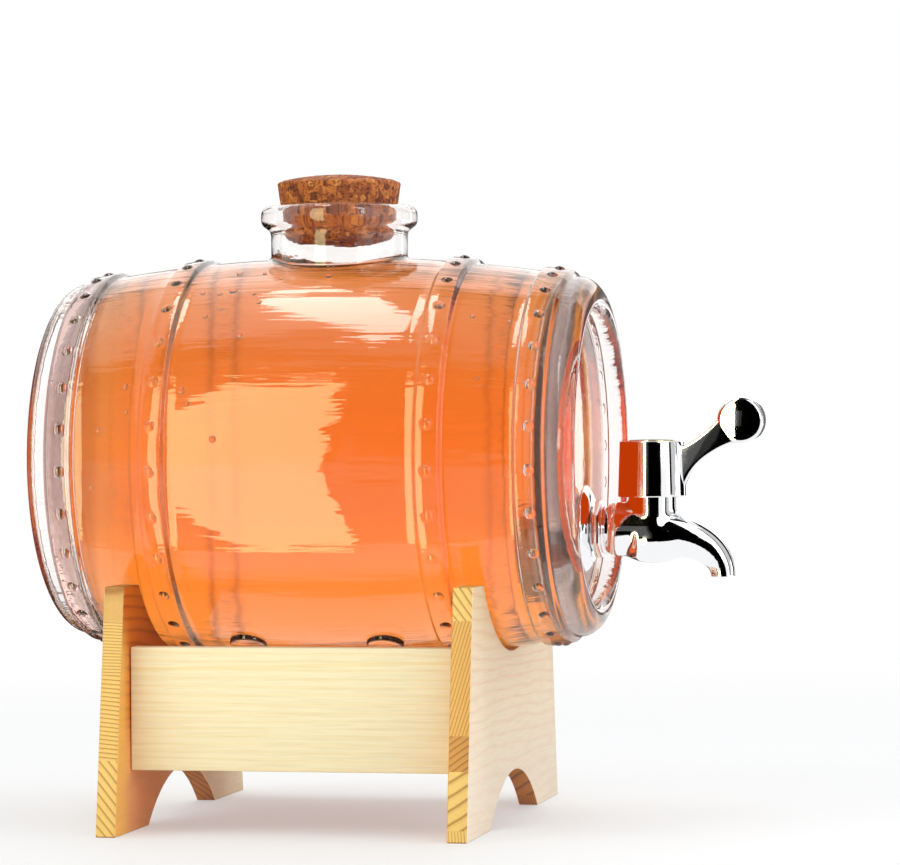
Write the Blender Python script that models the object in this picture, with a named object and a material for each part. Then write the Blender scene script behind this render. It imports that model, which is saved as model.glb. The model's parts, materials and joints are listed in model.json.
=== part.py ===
"""Glass barrel drink dispenser.

A moulded glass barrel with a cork stopper and a chromed tap lies in a pine stand.
Metres, +Z up, +X towards the tap, +Y to the barrel's left as the tap faces forward.
"""

import bpy
import bmesh
from math import acos, asin, atan2, cos, pi, radians, sin, sqrt
from mathutils import Matrix, Vector

# Clearances and overruns
FIT_GAP = 0.0003
CUT_OVERRUN = 0.0020
WELD_DISTANCE = 0.000001
CREASE_ANGLE = radians(32)

# Stand, in pine
BOARD_THICKNESS = 0.0077
BOARD_HEIGHT = 0.0900
BOARD_TOP_WIDTH = 0.1504
BOARD_FOOT_WIDTH = 0.1776
BOARD_SPACING = 0.1220
ARCH_WIDTH = 0.0920
ARCH_HEIGHT = 0.0180
CRADLE_FLOOR = 0.0632
STRETCHER_THICKNESS = 0.0077
STRETCHER_HEIGHT = 0.0451
STRETCHER_LIFT = 0.0227
STRETCHER_SPREAD = 0.1392
DOWEL_DIAMETER = 0.0040
DOWEL_LENGTH = 0.0200
DOWEL_BOARD_DEPTH = 0.0050
DOWEL_CHAMFER = 0.0005
DOWEL_HEIGHT_SHARES = (0.25, 0.75)

# Glass barrel
BARREL_LENGTH = 0.2056
BARREL_MIDDLE_DIAMETER = 0.1516
BARREL_END_DIAMETER = 0.1350
GLASS_WALL = 0.0045
RIM_OUTER_ROUND = 0.0086
RIM_INNER_ROUND = 0.0039
HEAD_RECESS = 0.0087
HEAD_THICKNESS = 0.0065
HEAD_FILLET = 0.0025
CAVITY_CORNER_ROUND = 0.0080
CAVITY_STATION_SHARES = (0, 0.55)
HOOP_RISE = 0.0018
HOOP_SHOULDER = 0.0014
INNER_HOOP_WIDTH = 0.0110
INNER_HOOP_OFFSET = 0.0515
END_HOOP_WIDTH = 0.0124
END_HOOP_OFFSET = 0.0877
RIVETS_PER_HOOP = 28
RIVET_DIAMETER = 0.0044
RIVET_RISE = 0.0012

# Glass pads, moulded low on the barrel's wall
PAD_DIAMETER = 0.0140
PAD_RISE = 0.0016
PAD_ROUND = 0.0008
PAD_SPREAD = 0.0524
PAD_TILT = radians(26)

# Glass neck and its lip
NECK_OFFSET = 0.0023
NECK_DIAMETER = 0.0518
NECK_BORE = 0.0452
NECK_HEIGHT = 0.0195
NECK_FILLET = 0.0030
LIP_DIAMETER = 0.0594
LIP_HEIGHT = 0.0082
LIP_ROUND = 0.0024
MOUTH_CHAMFER = 0.0016

# Cork stopper
CORK_RISE = 0.0092
CORK_CROWN = 0.0028
CORK_DEPTH = 0.0141
CORK_TAPER = 0.1370
CORK_EDGE = 0.0010

# Tap: stack of pieces along the shank
TAP_DROP = 0.0273
TAP_REACH = 0.0276
SHANK_DIAMETER = 0.0160
SHANK_BORE = 0.0090
SHANK_TAIL = 0.0035
OUTER_WASHER_DIAMETER = 0.0240
OUTER_WASHER_THICKNESS = 0.0012
ESCUTCHEON_DIAMETER = 0.0329
ESCUTCHEON_THICKNESS = 0.0035
ESCUTCHEON_RIM = 0.0012
INNER_WASHER_DIAMETER = 0.0250
INNER_WASHER_THICKNESS = 0.0020
NUT_ACROSS_CORNERS = 0.0260
NUT_THICKNESS = 0.0055
NUT_FLANGE_DIAMETER = 0.0270
NUT_FLANGE_THICKNESS = 0.0014
GRIP_ACROSS_CORNERS = 0.0216
GRIP_THICKNESS = 0.0030
BEAD_DIAMETER = 0.0170
BEAD_THICKNESS = 0.0016
WAIST_DIAMETER = 0.0176
BARREL_ARM_DIAMETER = 0.0202
ARM_SHOULDER = 0.0030

# Tap: valve chamber, its neck and its belly
CHAMBER_DIAMETER = 0.0130
CHAMBER_DEPTH = 0.0055
VALVE_NECK_DIAMETER = 0.0180
VALVE_NECK_RISE = 0.0225
BELLY_LENGTH = 0.0262
BELLY_WIDTH = 0.0230
BELLY_HEIGHT = 0.0208
BELLY_DROP = 0.0024

# Tap: spout
SPOUT_REACH = 0.0265
SPOUT_DROP = 0.0175
SPOUT_ROOT_DIAMETER = 0.0166
SPOUT_TIP_DIAMETER = 0.0090
SPOUT_BORE = 0.0066

# Tap: turning plug in the chamber
TANG_SIDE = 0.0080
TANG_HEIGHT = 0.0040
SEAL_THICKNESS = 0.0016
SEAL_SQUEEZE = 0.0002
SEAL_GROOVE_WIDTH = 0.0024
SEAL_HEIGHTS = (0.0085, 0.0155)

# Tap: turning handle with its collar, lever and knob
COLLAR_LIFT = 0.0121
COLLAR_HEIGHT = 0.0207
COLLAR_TOP_DIAMETER = 0.0242
COLLAR_FOOT_DIAMETER = 0.0256
COLLAR_EDGE = 0.0005
SCREW_WEB = 0.0026
LEVER_ROOT_RISE = 0.0258
LEVER_ROOT_DIAMETER = 0.0124
LEVER_WAIST_DIAMETER = 0.0082
LEVER_TIP_DIAMETER = 0.0100
LEVER_STUD_DIAMETER = 0.0044
LEVER_STUD_LENGTH = 0.0050
LEVER_WAIST_SHARE = 0.52
LEVER_FLATNESS = 0.78
KNOB_DIAMETER = 0.0174
KNOB_THICKNESS = 0.0108
KNOB_FACE_ROUND = 0.0300
KNOB_EDGE_ROUND = 0.0030
KNOB_REACH = 0.0337
KNOB_RISE = 0.0404
CAP_DIAMETER = 0.0175
CAP_THICKNESS = 0.0013
CAP_RECESS = 0.0009
CAP_EDGE = 0.0004
SCREW_DIAMETER = 0.0034
SCREW_HEAD_DIAMETER = 0.0070
SCREW_HEAD_HEIGHT = 0.0020
SCREW_LENGTH = 0.0110

# Fineness of the round shapes
BARREL_SEGMENTS = 2 * RIVETS_PER_HOOP
CAVITY_SEGMENTS = RIVETS_PER_HOOP
NECK_SEGMENTS = 40
TAP_SEGMENTS = 24
BORE_SEGMENTS = 20
SMALL_SEGMENTS = 12
ARC_STEPS = 3
SPOUT_STEPS = 8
LEVER_STEPS = 6
CRADLE_STEPS = 20
ARCH_STEPS = 12


# Derived sizes and places

RIM_START = BARREL_LENGTH / 2 - RIM_OUTER_ROUND
HEAD_FACE = BARREL_LENGTH / 2 - HEAD_RECESS
HEAD_INSIDE = HEAD_FACE - HEAD_THICKNESS


def wall_radius(along):
    """Outer radius of the plain glass wall at a distance from the barrel's middle."""
    swell = (BARREL_MIDDLE_DIAMETER - BARREL_END_DIAMETER) / 2
    return BARREL_MIDDLE_DIAMETER / 2 - swell * (along / RIM_START) ** 2


CRADLE_RADIUS = wall_radius(BOARD_SPACING / 2) + FIT_GAP
AXIS_HEIGHT = CRADLE_FLOOR + CRADLE_RADIUS
FRAME_SHIFT = -(HEAD_FACE + TAP_REACH + KNOB_REACH + KNOB_DIAMETER / 2 - BARREL_LENGTH / 2) / 2
NECK_TOP = BARREL_MIDDLE_DIAMETER / 2 + NECK_HEIGHT

SHANK_HOLE = SHANK_DIAMETER + 2 * FIT_GAP
WASHER_BACK = FIT_GAP - TAP_REACH
ESCUTCHEON_BACK = WASHER_BACK + OUTER_WASHER_THICKNESS + FIT_GAP
GRIP_BACK = ESCUTCHEON_BACK + ESCUTCHEON_THICKNESS + FIT_GAP
BEAD_BACK = GRIP_BACK + GRIP_THICKNESS
ARM_BACK = BEAD_BACK + BEAD_THICKNESS
INNER_WASHER_FRONT = -TAP_REACH - HEAD_THICKNESS - FIT_GAP
NUT_FRONT = INNER_WASHER_FRONT - INNER_WASHER_THICKNESS - FIT_GAP
NUT_BACK = NUT_FRONT - NUT_FLANGE_THICKNESS - NUT_THICKNESS
SHANK_BACK = NUT_BACK - SHANK_TAIL

PLUG_DIAMETER = CHAMBER_DIAMETER - 2 * FIT_GAP
PLUG_FOOT = FIT_GAP - CHAMBER_DEPTH
TANG_TOP = VALVE_NECK_RISE + TANG_HEIGHT
SCREW_SEAT = TANG_TOP + FIT_GAP + SCREW_WEB
COLLAR_TOP = COLLAR_LIFT + COLLAR_HEIGHT
CAP_FLOOR = COLLAR_TOP - CAP_RECESS


# Mesh helpers

def arc(centre, radius, start, end, steps):
    """Points of a round stretch, from one angle to another."""
    points = []
    for step in range(steps + 1):
        angle = start + (end - start) * step / steps
        points.append((centre[0] + radius * cos(angle), centre[1] + radius * sin(angle)))
    return points


def turned(profile, segments):
    """A solid turned round Z from (radius, height) points that start and end on the axis."""
    mesh = bmesh.new()
    verts = [mesh.verts.new((radius, 0, height)) for radius, height in profile]
    edges = [mesh.edges.new(pair) for pair in zip(verts, verts[1:])]
    bmesh.ops.spin(mesh, geom=verts + edges, cent=(0, 0, 0), axis=(0, 0, 1),
                   angle=2 * pi, steps=segments, use_merge=True)
    bmesh.ops.remove_doubles(mesh, verts=mesh.verts, dist=WELD_DISTANCE)
    bmesh.ops.recalc_face_normals(mesh, faces=mesh.faces)
    return mesh


def ring(profile, segments):
    """A ring turned round Z from a closed loop of (radius, height) points."""
    mesh = bmesh.new()
    verts = [mesh.verts.new((radius, 0, height)) for radius, height in profile]
    edges = [mesh.edges.new(pair) for pair in zip(verts, verts[1:] + verts[:1])]
    bmesh.ops.spin(mesh, geom=verts + edges, cent=(0, 0, 0), axis=(0, 0, 1),
                   angle=2 * pi, steps=segments, use_merge=True)
    bmesh.ops.remove_doubles(mesh, verts=mesh.verts, dist=WELD_DISTANCE)
    bmesh.ops.recalc_face_normals(mesh, faces=mesh.faces)
    return mesh


def rod(diameter, start, end, segments):
    """A plain cylinder on Z between two heights; six segments give a hexagon."""
    radius = diameter / 2
    return turned([(0, start), (radius, start), (radius, end), (0, end)], segments)


def washer(diameter, hole, start, end, segments):
    """A flat ring on Z between two heights."""
    inner, outer = hole / 2, diameter / 2
    return ring([(inner, start), (outer, start), (outer, end), (inner, end)], segments)


def block(length, width, height):
    """A box round the origin."""
    mesh = bmesh.new()
    bmesh.ops.create_cube(mesh, size=length)
    bmesh.ops.scale(mesh, vec=(1, width / length, height / length), verts=mesh.verts)
    return mesh


def sheet_cut(outline, thickness):
    """A flat piece cut from a board: an outline in the YZ plane, thick along +X."""
    mesh = bmesh.new()
    face = mesh.faces.new([mesh.verts.new((0, across, up)) for across, up in outline])
    body = bmesh.ops.extrude_face_region(mesh, geom=[face])
    moved = [item for item in body["geom"] if isinstance(item, bmesh.types.BMVert)]
    bmesh.ops.translate(mesh, vec=(thickness, 0, 0), verts=moved)
    bmesh.ops.recalc_face_normals(mesh, faces=mesh.faces)
    return mesh


def swept(stations, segments):
    """A round bar through (centre, direction, radius) stations in the XZ plane."""
    mesh = bmesh.new()
    loops = []
    for centre, direction, radius in stations:
        across = Vector((0, 1, 0))
        upward = across.cross(direction).normalized()
        loop = []
        for step in range(segments):
            angle = 2 * pi * step / segments
            offset = across * cos(angle) + upward * sin(angle)
            loop.append(mesh.verts.new(centre + offset * radius))
        loops.append(loop)
    for near, far in zip(loops, loops[1:]):
        for step in range(segments):
            after = (step + 1) % segments
            mesh.faces.new((near[step], near[after], far[after], far[step]))
    mesh.faces.new(loops[0])
    mesh.faces.new(loops[-1])
    bmesh.ops.recalc_face_normals(mesh, faces=mesh.faces)
    return mesh


def shifted(mesh, offset):
    bmesh.ops.translate(mesh, vec=offset, verts=mesh.verts)
    return mesh


def along_x(mesh):
    """Lays a piece that was turned round Z along +X."""
    bmesh.ops.rotate(mesh, cent=(0, 0, 0), matrix=Matrix.Rotation(pi / 2, 3, "Y"), verts=mesh.verts)
    return mesh


# Object helpers

def material(name, colour, roughness, metallic=0, transmission=0):
    """A Principled material with the piece's colour and finish."""
    made = bpy.data.materials.new(name)
    made.use_nodes = True
    shader = made.node_tree.nodes["Principled BSDF"]
    shader.inputs["Base Color"].default_value = (*colour, 1)
    shader.inputs["Roughness"].default_value = roughness
    shader.inputs["Metallic"].default_value = metallic
    shader.inputs["Transmission Weight"].default_value = transmission
    made.diffuse_color = (*colour, 1)
    return made


def frame_empty(name, place, parent=None):
    """An empty that carries the pieces built in its frame."""
    empty = bpy.data.objects.new(name, None)
    empty.empty_display_size = BOARD_THICKNESS
    empty.location = place
    empty.parent = parent
    bpy.context.scene.collection.objects.link(empty)
    return empty


def piece(name, mesh, finish, parent, place=(0, 0, 0)):
    """A named object from a bmesh, shaded smooth up to its creases."""
    data = bpy.data.meshes.new(name)
    mesh.to_mesh(data)
    mesh.free()
    data.shade_smooth()
    data.set_sharp_from_angle(angle=CREASE_ANGLE)
    if finish:
        data.materials.append(finish)
    made = bpy.data.objects.new(name, data)
    made.location = place
    made.parent = parent
    bpy.context.scene.collection.objects.link(made)
    return made


def shape(target, operation, mesh, label):
    """Joins a mesh to a piece, or cuts it away, with a Boolean in the piece's own frame."""
    tool = piece(target.name + "_" + label, mesh, None, target)
    tool.hide_render = True
    tool.display_type = "WIRE"
    boolean = target.modifiers.new(label, "BOOLEAN")
    boolean.operation = operation
    boolean.object = tool
    return tool


def join(target, mesh, label):
    return shape(target, "UNION", mesh, label)


def cut(target, mesh, label):
    return shape(target, "DIFFERENCE", mesh, label)


# Stand

def end_board_outline():
    """Trapezoid with an arched foot and a cradle for the barrel, in YZ."""
    foot = BOARD_FOOT_WIDTH / 2
    top = BOARD_TOP_WIDTH / 2
    arch = ARCH_WIDTH / 2
    arch_radius = (arch ** 2 + ARCH_HEIGHT ** 2) / (2 * ARCH_HEIGHT)
    arch_angle = asin(arch / arch_radius)
    arch_centre = (0, ARCH_HEIGHT - arch_radius)
    arch_points = arc(arch_centre, arch_radius, pi / 2 + arch_angle, pi / 2 - arch_angle, ARCH_STEPS)
    cradle_angle = acos((AXIS_HEIGHT - BOARD_HEIGHT) / CRADLE_RADIUS)
    cradle_points = arc((0, AXIS_HEIGHT), CRADLE_RADIUS, cradle_angle - pi / 2,
                        -cradle_angle - pi / 2, CRADLE_STEPS)
    return [(-foot, 0)] + arch_points + [(foot, 0), (top, BOARD_HEIGHT)] + cradle_points + [(-top, BOARD_HEIGHT)]


def dowel_places(stretcher_side):
    """Height and side of each dowel at the end of a stretcher."""
    across = stretcher_side * (STRETCHER_SPREAD - STRETCHER_THICKNESS) / 2
    return [(across, STRETCHER_LIFT + share * STRETCHER_HEIGHT) for share in DOWEL_HEIGHT_SHARES]


def add_end_board(name, end, pine, stand):
    """One end board; end is +1 at the tap and -1 at the rear."""
    inner_face = end * BOARD_SPACING / 2
    start = inner_face if end > 0 else inner_face - BOARD_THICKNESS
    board = piece(name, sheet_cut(end_board_outline(), BOARD_THICKNESS), pine, stand, (start, 0, 0))
    depth = DOWEL_BOARD_DEPTH + FIT_GAP
    for side in (-1, 1):
        for number, (across, up) in enumerate(dowel_places(side)):
            hole = along_x(rod(DOWEL_DIAMETER + 2 * FIT_GAP, -CUT_OVERRUN, depth, SMALL_SEGMENTS))
            if end < 0:
                bmesh.ops.rotate(hole, cent=(0, 0, 0), matrix=Matrix.Rotation(pi, 3, "Z"), verts=hole.verts)
            shifted(hole, (inner_face - start, across, up))
            cut(board, hole, f"dowel_hole_{'left' if side > 0 else 'right'}_{number + 1}")


def add_stretcher(name, side, pine, stand):
    """A rail between the end boards; side is +1 at the left and -1 at the right."""
    length = BOARD_SPACING - 2 * FIT_GAP
    across = side * (STRETCHER_SPREAD - STRETCHER_THICKNESS) / 2
    middle = STRETCHER_LIFT + STRETCHER_HEIGHT / 2
    rail = piece(name, block(length, STRETCHER_THICKNESS, STRETCHER_HEIGHT), pine, stand,
                 (0, across, middle))
    depth = DOWEL_LENGTH - DOWEL_BOARD_DEPTH + FIT_GAP
    for end in (-1, 1):
        for number, (_, up) in enumerate(dowel_places(side)):
            inner = end * (BOARD_SPACING / 2 - depth)
            outer = end * (BOARD_SPACING / 2 + CUT_OVERRUN)
            low, high = min(inner, outer), max(inner, outer)
            hole = along_x(rod(DOWEL_DIAMETER + 2 * FIT_GAP, low, high, SMALL_SEGMENTS))
            shifted(hole, (0, 0, up - middle))
            cut(rail, hole, f"dowel_hole_{'front' if end > 0 else 'rear'}_{number + 1}")


def add_dowels(beech, stand):
    """Two dowels in each of the four joints."""
    radius = DOWEL_DIAMETER / 2
    profile = [(0, 0), (radius - DOWEL_CHAMFER, 0), (radius, DOWEL_CHAMFER),
               (radius, DOWEL_LENGTH - DOWEL_CHAMFER), (radius - DOWEL_CHAMFER, DOWEL_LENGTH),
               (0, DOWEL_LENGTH)]
    number = 0
    for end in (-1, 1):
        start = end * (BOARD_SPACING / 2 + DOWEL_BOARD_DEPTH)
        if end > 0:
            start -= DOWEL_LENGTH
        for side in (-1, 1):
            for across, up in dowel_places(side):
                number += 1
                piece(f"dowel_{number}", along_x(turned(profile, SMALL_SEGMENTS)), beech, stand,
                      (start, across, up))


# Glass barrel

def hoop_stations(centre, width):
    """Raised band on the wall: foot, crest, crest, foot."""
    crest = width / 2 - HOOP_SHOULDER
    places = [(centre - width / 2, 0), (centre - crest, HOOP_RISE), (centre + crest, HOOP_RISE),
              (centre + width / 2, 0)]
    return [(wall_radius(along) + rise, along) for along, rise in places]


def front_half_outline():
    """(radius, distance) points from the barrel's middle to the centre of the front head."""
    half = BARREL_LENGTH / 2
    rim_radius = BARREL_END_DIAMETER / 2
    rest = INNER_HOOP_OFFSET - INNER_HOOP_WIDTH / 2
    points = [(wall_radius(0), 0), (wall_radius(rest / 2), rest / 2)]
    points += hoop_stations(INNER_HOOP_OFFSET, INNER_HOOP_WIDTH)
    between = (INNER_HOOP_OFFSET + INNER_HOOP_WIDTH / 2 + END_HOOP_OFFSET - END_HOOP_WIDTH / 2) / 2
    points.append((wall_radius(between), between))
    points += hoop_stations(END_HOOP_OFFSET, END_HOOP_WIDTH)
    points += arc((rim_radius - RIM_OUTER_ROUND, RIM_START), RIM_OUTER_ROUND, 0, pi / 2, ARC_STEPS)
    inner_wall = rim_radius - RIM_OUTER_ROUND - RIM_INNER_ROUND
    points += arc((rim_radius - RIM_OUTER_ROUND, half - RIM_INNER_ROUND), RIM_INNER_ROUND,
                  pi / 2, pi, ARC_STEPS - 1)[1:]
    points += [(inner_wall, HEAD_FACE + HEAD_FILLET), (inner_wall - HEAD_FILLET, HEAD_FACE), (0, HEAD_FACE)]
    return points


def cavity_half_outline():
    """(radius, distance) points of the hollow, from its middle to its front end."""
    turn = HEAD_INSIDE - CAVITY_CORNER_ROUND
    points = []
    for share in CAVITY_STATION_SHARES:
        points.append((wall_radius(share * turn) - GLASS_WALL, share * turn))
    corner = wall_radius(turn) - GLASS_WALL - CAVITY_CORNER_ROUND
    points += arc((corner, turn), CAVITY_CORNER_ROUND, 0, pi / 2, ARC_STEPS)
    points.append((0, HEAD_INSIDE))
    return points


def mirrored(half):
    """A whole outline, rear to front, from its front half."""
    rear = [(radius, -along) for radius, along in reversed(half[1:])]
    return rear + half


def raise_rivets(mesh, hoop_offset, hoop_width):
    """Lifts a small dome from every second panel of a hoop's crest."""
    step = 2 * pi / BARREL_SEGMENTS
    panels = []
    for face in mesh.faces:
        centre = face.calc_center_median()
        on_crest = abs(centre.z - hoop_offset) < HOOP_SHOULDER / 2
        panel = int((atan2(centre.y, centre.x) % (2 * pi)) / step)
        if on_crest and panel % 2 == 0:
            panels.append(face)
    margin = (hoop_width / 2 - HOOP_SHOULDER) - RIVET_DIAMETER / 2
    bmesh.ops.inset_individual(mesh, faces=panels, thickness=margin, use_even_offset=True)
    for face in panels:
        centre = face.calc_center_median()
        for edge in list(face.edges):
            bmesh.utils.edge_split(edge, edge.verts[0], 0.5)
        for vert in face.verts:
            vert.co = centre + (vert.co - centre).normalized() * RIVET_DIAMETER / 2
    bmesh.ops.poke(mesh, faces=panels, offset=RIVET_RISE)


def neck_outline():
    """(radius, height above the barrel's axis) points of the neck and its lip."""
    neck = NECK_DIAMETER / 2
    lip = LIP_DIAMETER / 2
    shoulder = BARREL_MIDDLE_DIAMETER / 2
    deep = shoulder - GLASS_WALL
    points = [(0, deep - NECK_BORE / 2), (neck + NECK_FILLET, deep - NECK_BORE / 2)]
    points += [(neck + NECK_FILLET, shoulder - NECK_FILLET)]
    points += arc((neck + NECK_FILLET, shoulder), NECK_FILLET, -pi * 2 / 3, -pi, 2)
    points += [(neck, NECK_TOP - LIP_HEIGHT - (lip - neck) / 2)]
    points += arc((lip - LIP_ROUND, NECK_TOP - LIP_HEIGHT + LIP_ROUND), LIP_ROUND, -pi / 2, 0, 2)
    points += arc((lip - LIP_ROUND, NECK_TOP - LIP_ROUND), LIP_ROUND, 0, pi / 2, 3)
    return points + [(0, NECK_TOP)]


def neck_bore_outline():
    """(radius, height) points of the bore, with its chamfered mouth."""
    bore = NECK_BORE / 2
    return [(0, 0), (bore, 0), (bore, NECK_TOP - MOUTH_CHAMFER), (bore + MOUTH_CHAMFER, NECK_TOP),
            (bore + MOUTH_CHAMFER, NECK_TOP + CUT_OVERRUN), (0, NECK_TOP + CUT_OVERRUN)]


def wall_pad(along, tilt):
    """A low round pad on the wall, tilted to one side of straight down."""
    radius = PAD_DIAMETER / 2
    root = GLASS_WALL / 2 - wall_radius(along)
    face = -wall_radius(along) - PAD_RISE
    outline = [(0, face), (radius - PAD_ROUND, face), (radius, face + PAD_ROUND), (radius, root), (0, root)]
    mesh = turned(outline, SMALL_SEGMENTS)
    bmesh.ops.rotate(mesh, cent=(0, 0, 0), matrix=Matrix.Rotation(tilt, 3, "X"), verts=mesh.verts)
    return shifted(mesh, (along, 0, 0))


def add_glass_barrel(glass, barrel):
    mesh = turned(mirrored(front_half_outline()), BARREL_SEGMENTS)
    for end in (-1, 1):
        raise_rivets(mesh, end * INNER_HOOP_OFFSET, INNER_HOOP_WIDTH)
        raise_rivets(mesh, end * END_HOOP_OFFSET, END_HOOP_WIDTH)
    body = piece("glass_barrel", along_x(mesh), glass, barrel)
    join(body, shifted(turned(neck_outline(), NECK_SEGMENTS), (NECK_OFFSET, 0, 0)), "neck")
    for along in (-1, 1):
        for side in (-1, 1):
            label = f"pad_{'front' if along > 0 else 'rear'}_{'left' if side > 0 else 'right'}"
            join(body, wall_pad(along * PAD_SPREAD / 2, side * PAD_TILT), label)
    cut(body, along_x(turned(mirrored(cavity_half_outline()), CAVITY_SEGMENTS)), "cavity")
    cut(body, shifted(turned(neck_bore_outline(), NECK_SEGMENTS), (NECK_OFFSET, 0, 0)), "neck_bore")
    hole = rod(SHANK_HOLE, HEAD_INSIDE - CUT_OVERRUN, HEAD_FACE + CUT_OVERRUN, TAP_SEGMENTS)
    cut(body, shifted(along_x(hole), (0, 0, -TAP_DROP)), "tap_hole")


# Cork

def add_cork(cork, barrel):
    """Tapered stopper that wedges in the mouth of the neck."""
    seat = NECK_BORE / 2 - FIT_GAP
    top = seat + CORK_RISE * CORK_TAPER
    foot = seat - CORK_DEPTH * CORK_TAPER
    crown_radius = (top ** 2 + CORK_CROWN ** 2) / (2 * CORK_CROWN)
    crown_angle = asin((top - CORK_EDGE) / crown_radius)
    crown_centre = (0, CORK_RISE + CORK_CROWN - crown_radius)
    crown = arc(crown_centre, crown_radius, pi / 2 - crown_angle, pi / 2, ARC_STEPS + 1)
    profile = [(0, -CORK_DEPTH), (foot - CORK_EDGE, -CORK_DEPTH), (foot, CORK_EDGE - CORK_DEPTH),
               (top, CORK_RISE - CORK_EDGE / 2)] + crown
    piece("cork_stopper", turned(profile, NECK_SEGMENTS), cork, barrel, (NECK_OFFSET, 0, NECK_TOP))


# Tap

def arm_outline():
    """(radius, distance from the valve axis) points of the shank and the arm of the tap."""
    shank, bead = SHANK_DIAMETER / 2, BEAD_DIAMETER / 2
    waist, arm = WAIST_DIAMETER / 2, BARREL_ARM_DIAMETER / 2
    middle_of_bead = BEAD_BACK + BEAD_THICKNESS / 2
    return [(0, SHANK_BACK), (shank, SHANK_BACK), (shank, BEAD_BACK),
            (bead, BEAD_BACK), (bead + BEAD_THICKNESS / 2, middle_of_bead), (bead, ARM_BACK),
            (waist, ARM_BACK), (arm - ARM_SHOULDER / 4, ARM_BACK + ARM_SHOULDER / 2),
            (arm, ARM_BACK + ARM_SHOULDER)] + arc((0, 0), arm, 0, pi / 2, ARC_STEPS)


def spout_stations(root_radius, tip_radius):
    """Stations on a quarter ellipse from the valve chamber, forward and down to the mouth."""
    stations = [(Vector((-root_radius / 2, 0, 0)), Vector((1, 0, 0)), root_radius)]
    for step in range(SPOUT_STEPS + 1):
        share = step / SPOUT_STEPS
        turn = pi / 2 * share
        centre = Vector((SPOUT_REACH * sin(turn), 0, -SPOUT_DROP * (1 - cos(turn))))
        direction = Vector((SPOUT_REACH * cos(turn), 0, -SPOUT_DROP * sin(turn))).normalized()
        stations.append((centre, direction, root_radius + (tip_radius - root_radius) * share))
    return stations


def add_tap_body(chrome, tap):
    """Shank, grip, valve chamber and spout in one casting, with its waterway."""
    body = piece("tap_body", along_x(turned(arm_outline(), TAP_SEGMENTS)), chrome, tap)
    grip = rod(GRIP_ACROSS_CORNERS, GRIP_BACK, BEAD_BACK + BEAD_THICKNESS / 4, 6)
    join(body, along_x(grip), "hexagon_grip")
    belly = bmesh.new()
    bmesh.ops.create_uvsphere(belly, u_segments=TAP_SEGMENTS, v_segments=SMALL_SEGMENTS, radius=BELLY_LENGTH / 2)
    bmesh.ops.scale(belly, vec=(1, BELLY_WIDTH / BELLY_LENGTH, BELLY_HEIGHT / BELLY_LENGTH), verts=belly.verts)
    join(body, shifted(belly, (0, 0, -BELLY_DROP)), "belly")
    join(body, rod(VALVE_NECK_DIAMETER, 0, VALVE_NECK_RISE, TAP_SEGMENTS), "valve_neck")
    spout = swept(spout_stations(SPOUT_ROOT_DIAMETER / 2, SPOUT_TIP_DIAMETER / 2), BORE_SEGMENTS)
    join(body, spout, "spout")
    chamber = rod(CHAMBER_DIAMETER, -CHAMBER_DEPTH, VALVE_NECK_RISE + CUT_OVERRUN, TAP_SEGMENTS)
    cut(body, chamber, "valve_chamber")
    shank_bore = rod(SHANK_BORE, SHANK_BACK - CUT_OVERRUN, 0, BORE_SEGMENTS)
    cut(body, along_x(shank_bore), "shank_bore")
    waterway = spout_stations(SPOUT_BORE / 2, SPOUT_BORE / 2)
    mouth, downward, radius = waterway[-1]
    waterway.append((mouth + downward * CUT_OVERRUN, downward, radius))
    cut(body, swept(waterway, SMALL_SEGMENTS), "spout_bore")


def add_shank_fittings(chrome, silicone, nylon, tap):
    """Escutcheon and washers on the shank, and the nut that holds the tap from inside."""
    outer = ESCUTCHEON_DIAMETER / 2
    hole = SHANK_HOLE / 2
    front = ESCUTCHEON_BACK + ESCUTCHEON_THICKNESS
    face = GRIP_ACROSS_CORNERS / 2
    profile = [(hole, ESCUTCHEON_BACK), (outer, ESCUTCHEON_BACK), (outer, ESCUTCHEON_BACK + ESCUTCHEON_RIM),
               ((outer + face) / 2, front - ESCUTCHEON_RIM / 2), (face, front), (hole, front)]
    piece("escutcheon", along_x(ring(profile, TAP_SEGMENTS)), chrome, tap)
    piece("outer_washer", along_x(washer(OUTER_WASHER_DIAMETER, SHANK_HOLE, WASHER_BACK,
                                         WASHER_BACK + OUTER_WASHER_THICKNESS, TAP_SEGMENTS)), silicone, tap)
    piece("inner_washer", along_x(washer(INNER_WASHER_DIAMETER, SHANK_HOLE,
                                         INNER_WASHER_FRONT - INNER_WASHER_THICKNESS,
                                         INNER_WASHER_FRONT, TAP_SEGMENTS)), silicone, tap)
    flange_back = NUT_FRONT - NUT_FLANGE_THICKNESS
    nut = piece("lock_nut", along_x(rod(NUT_FLANGE_DIAMETER, flange_back, NUT_FRONT, TAP_SEGMENTS)), nylon, tap)
    join(nut, along_x(rod(NUT_ACROSS_CORNERS, NUT_BACK, flange_back + NUT_FLANGE_THICKNESS / 2, 6)), "hexagon")
    cut(nut, along_x(rod(SHANK_HOLE, NUT_BACK - CUT_OVERRUN, NUT_FRONT + CUT_OVERRUN, TAP_SEGMENTS)), "thread")


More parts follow.
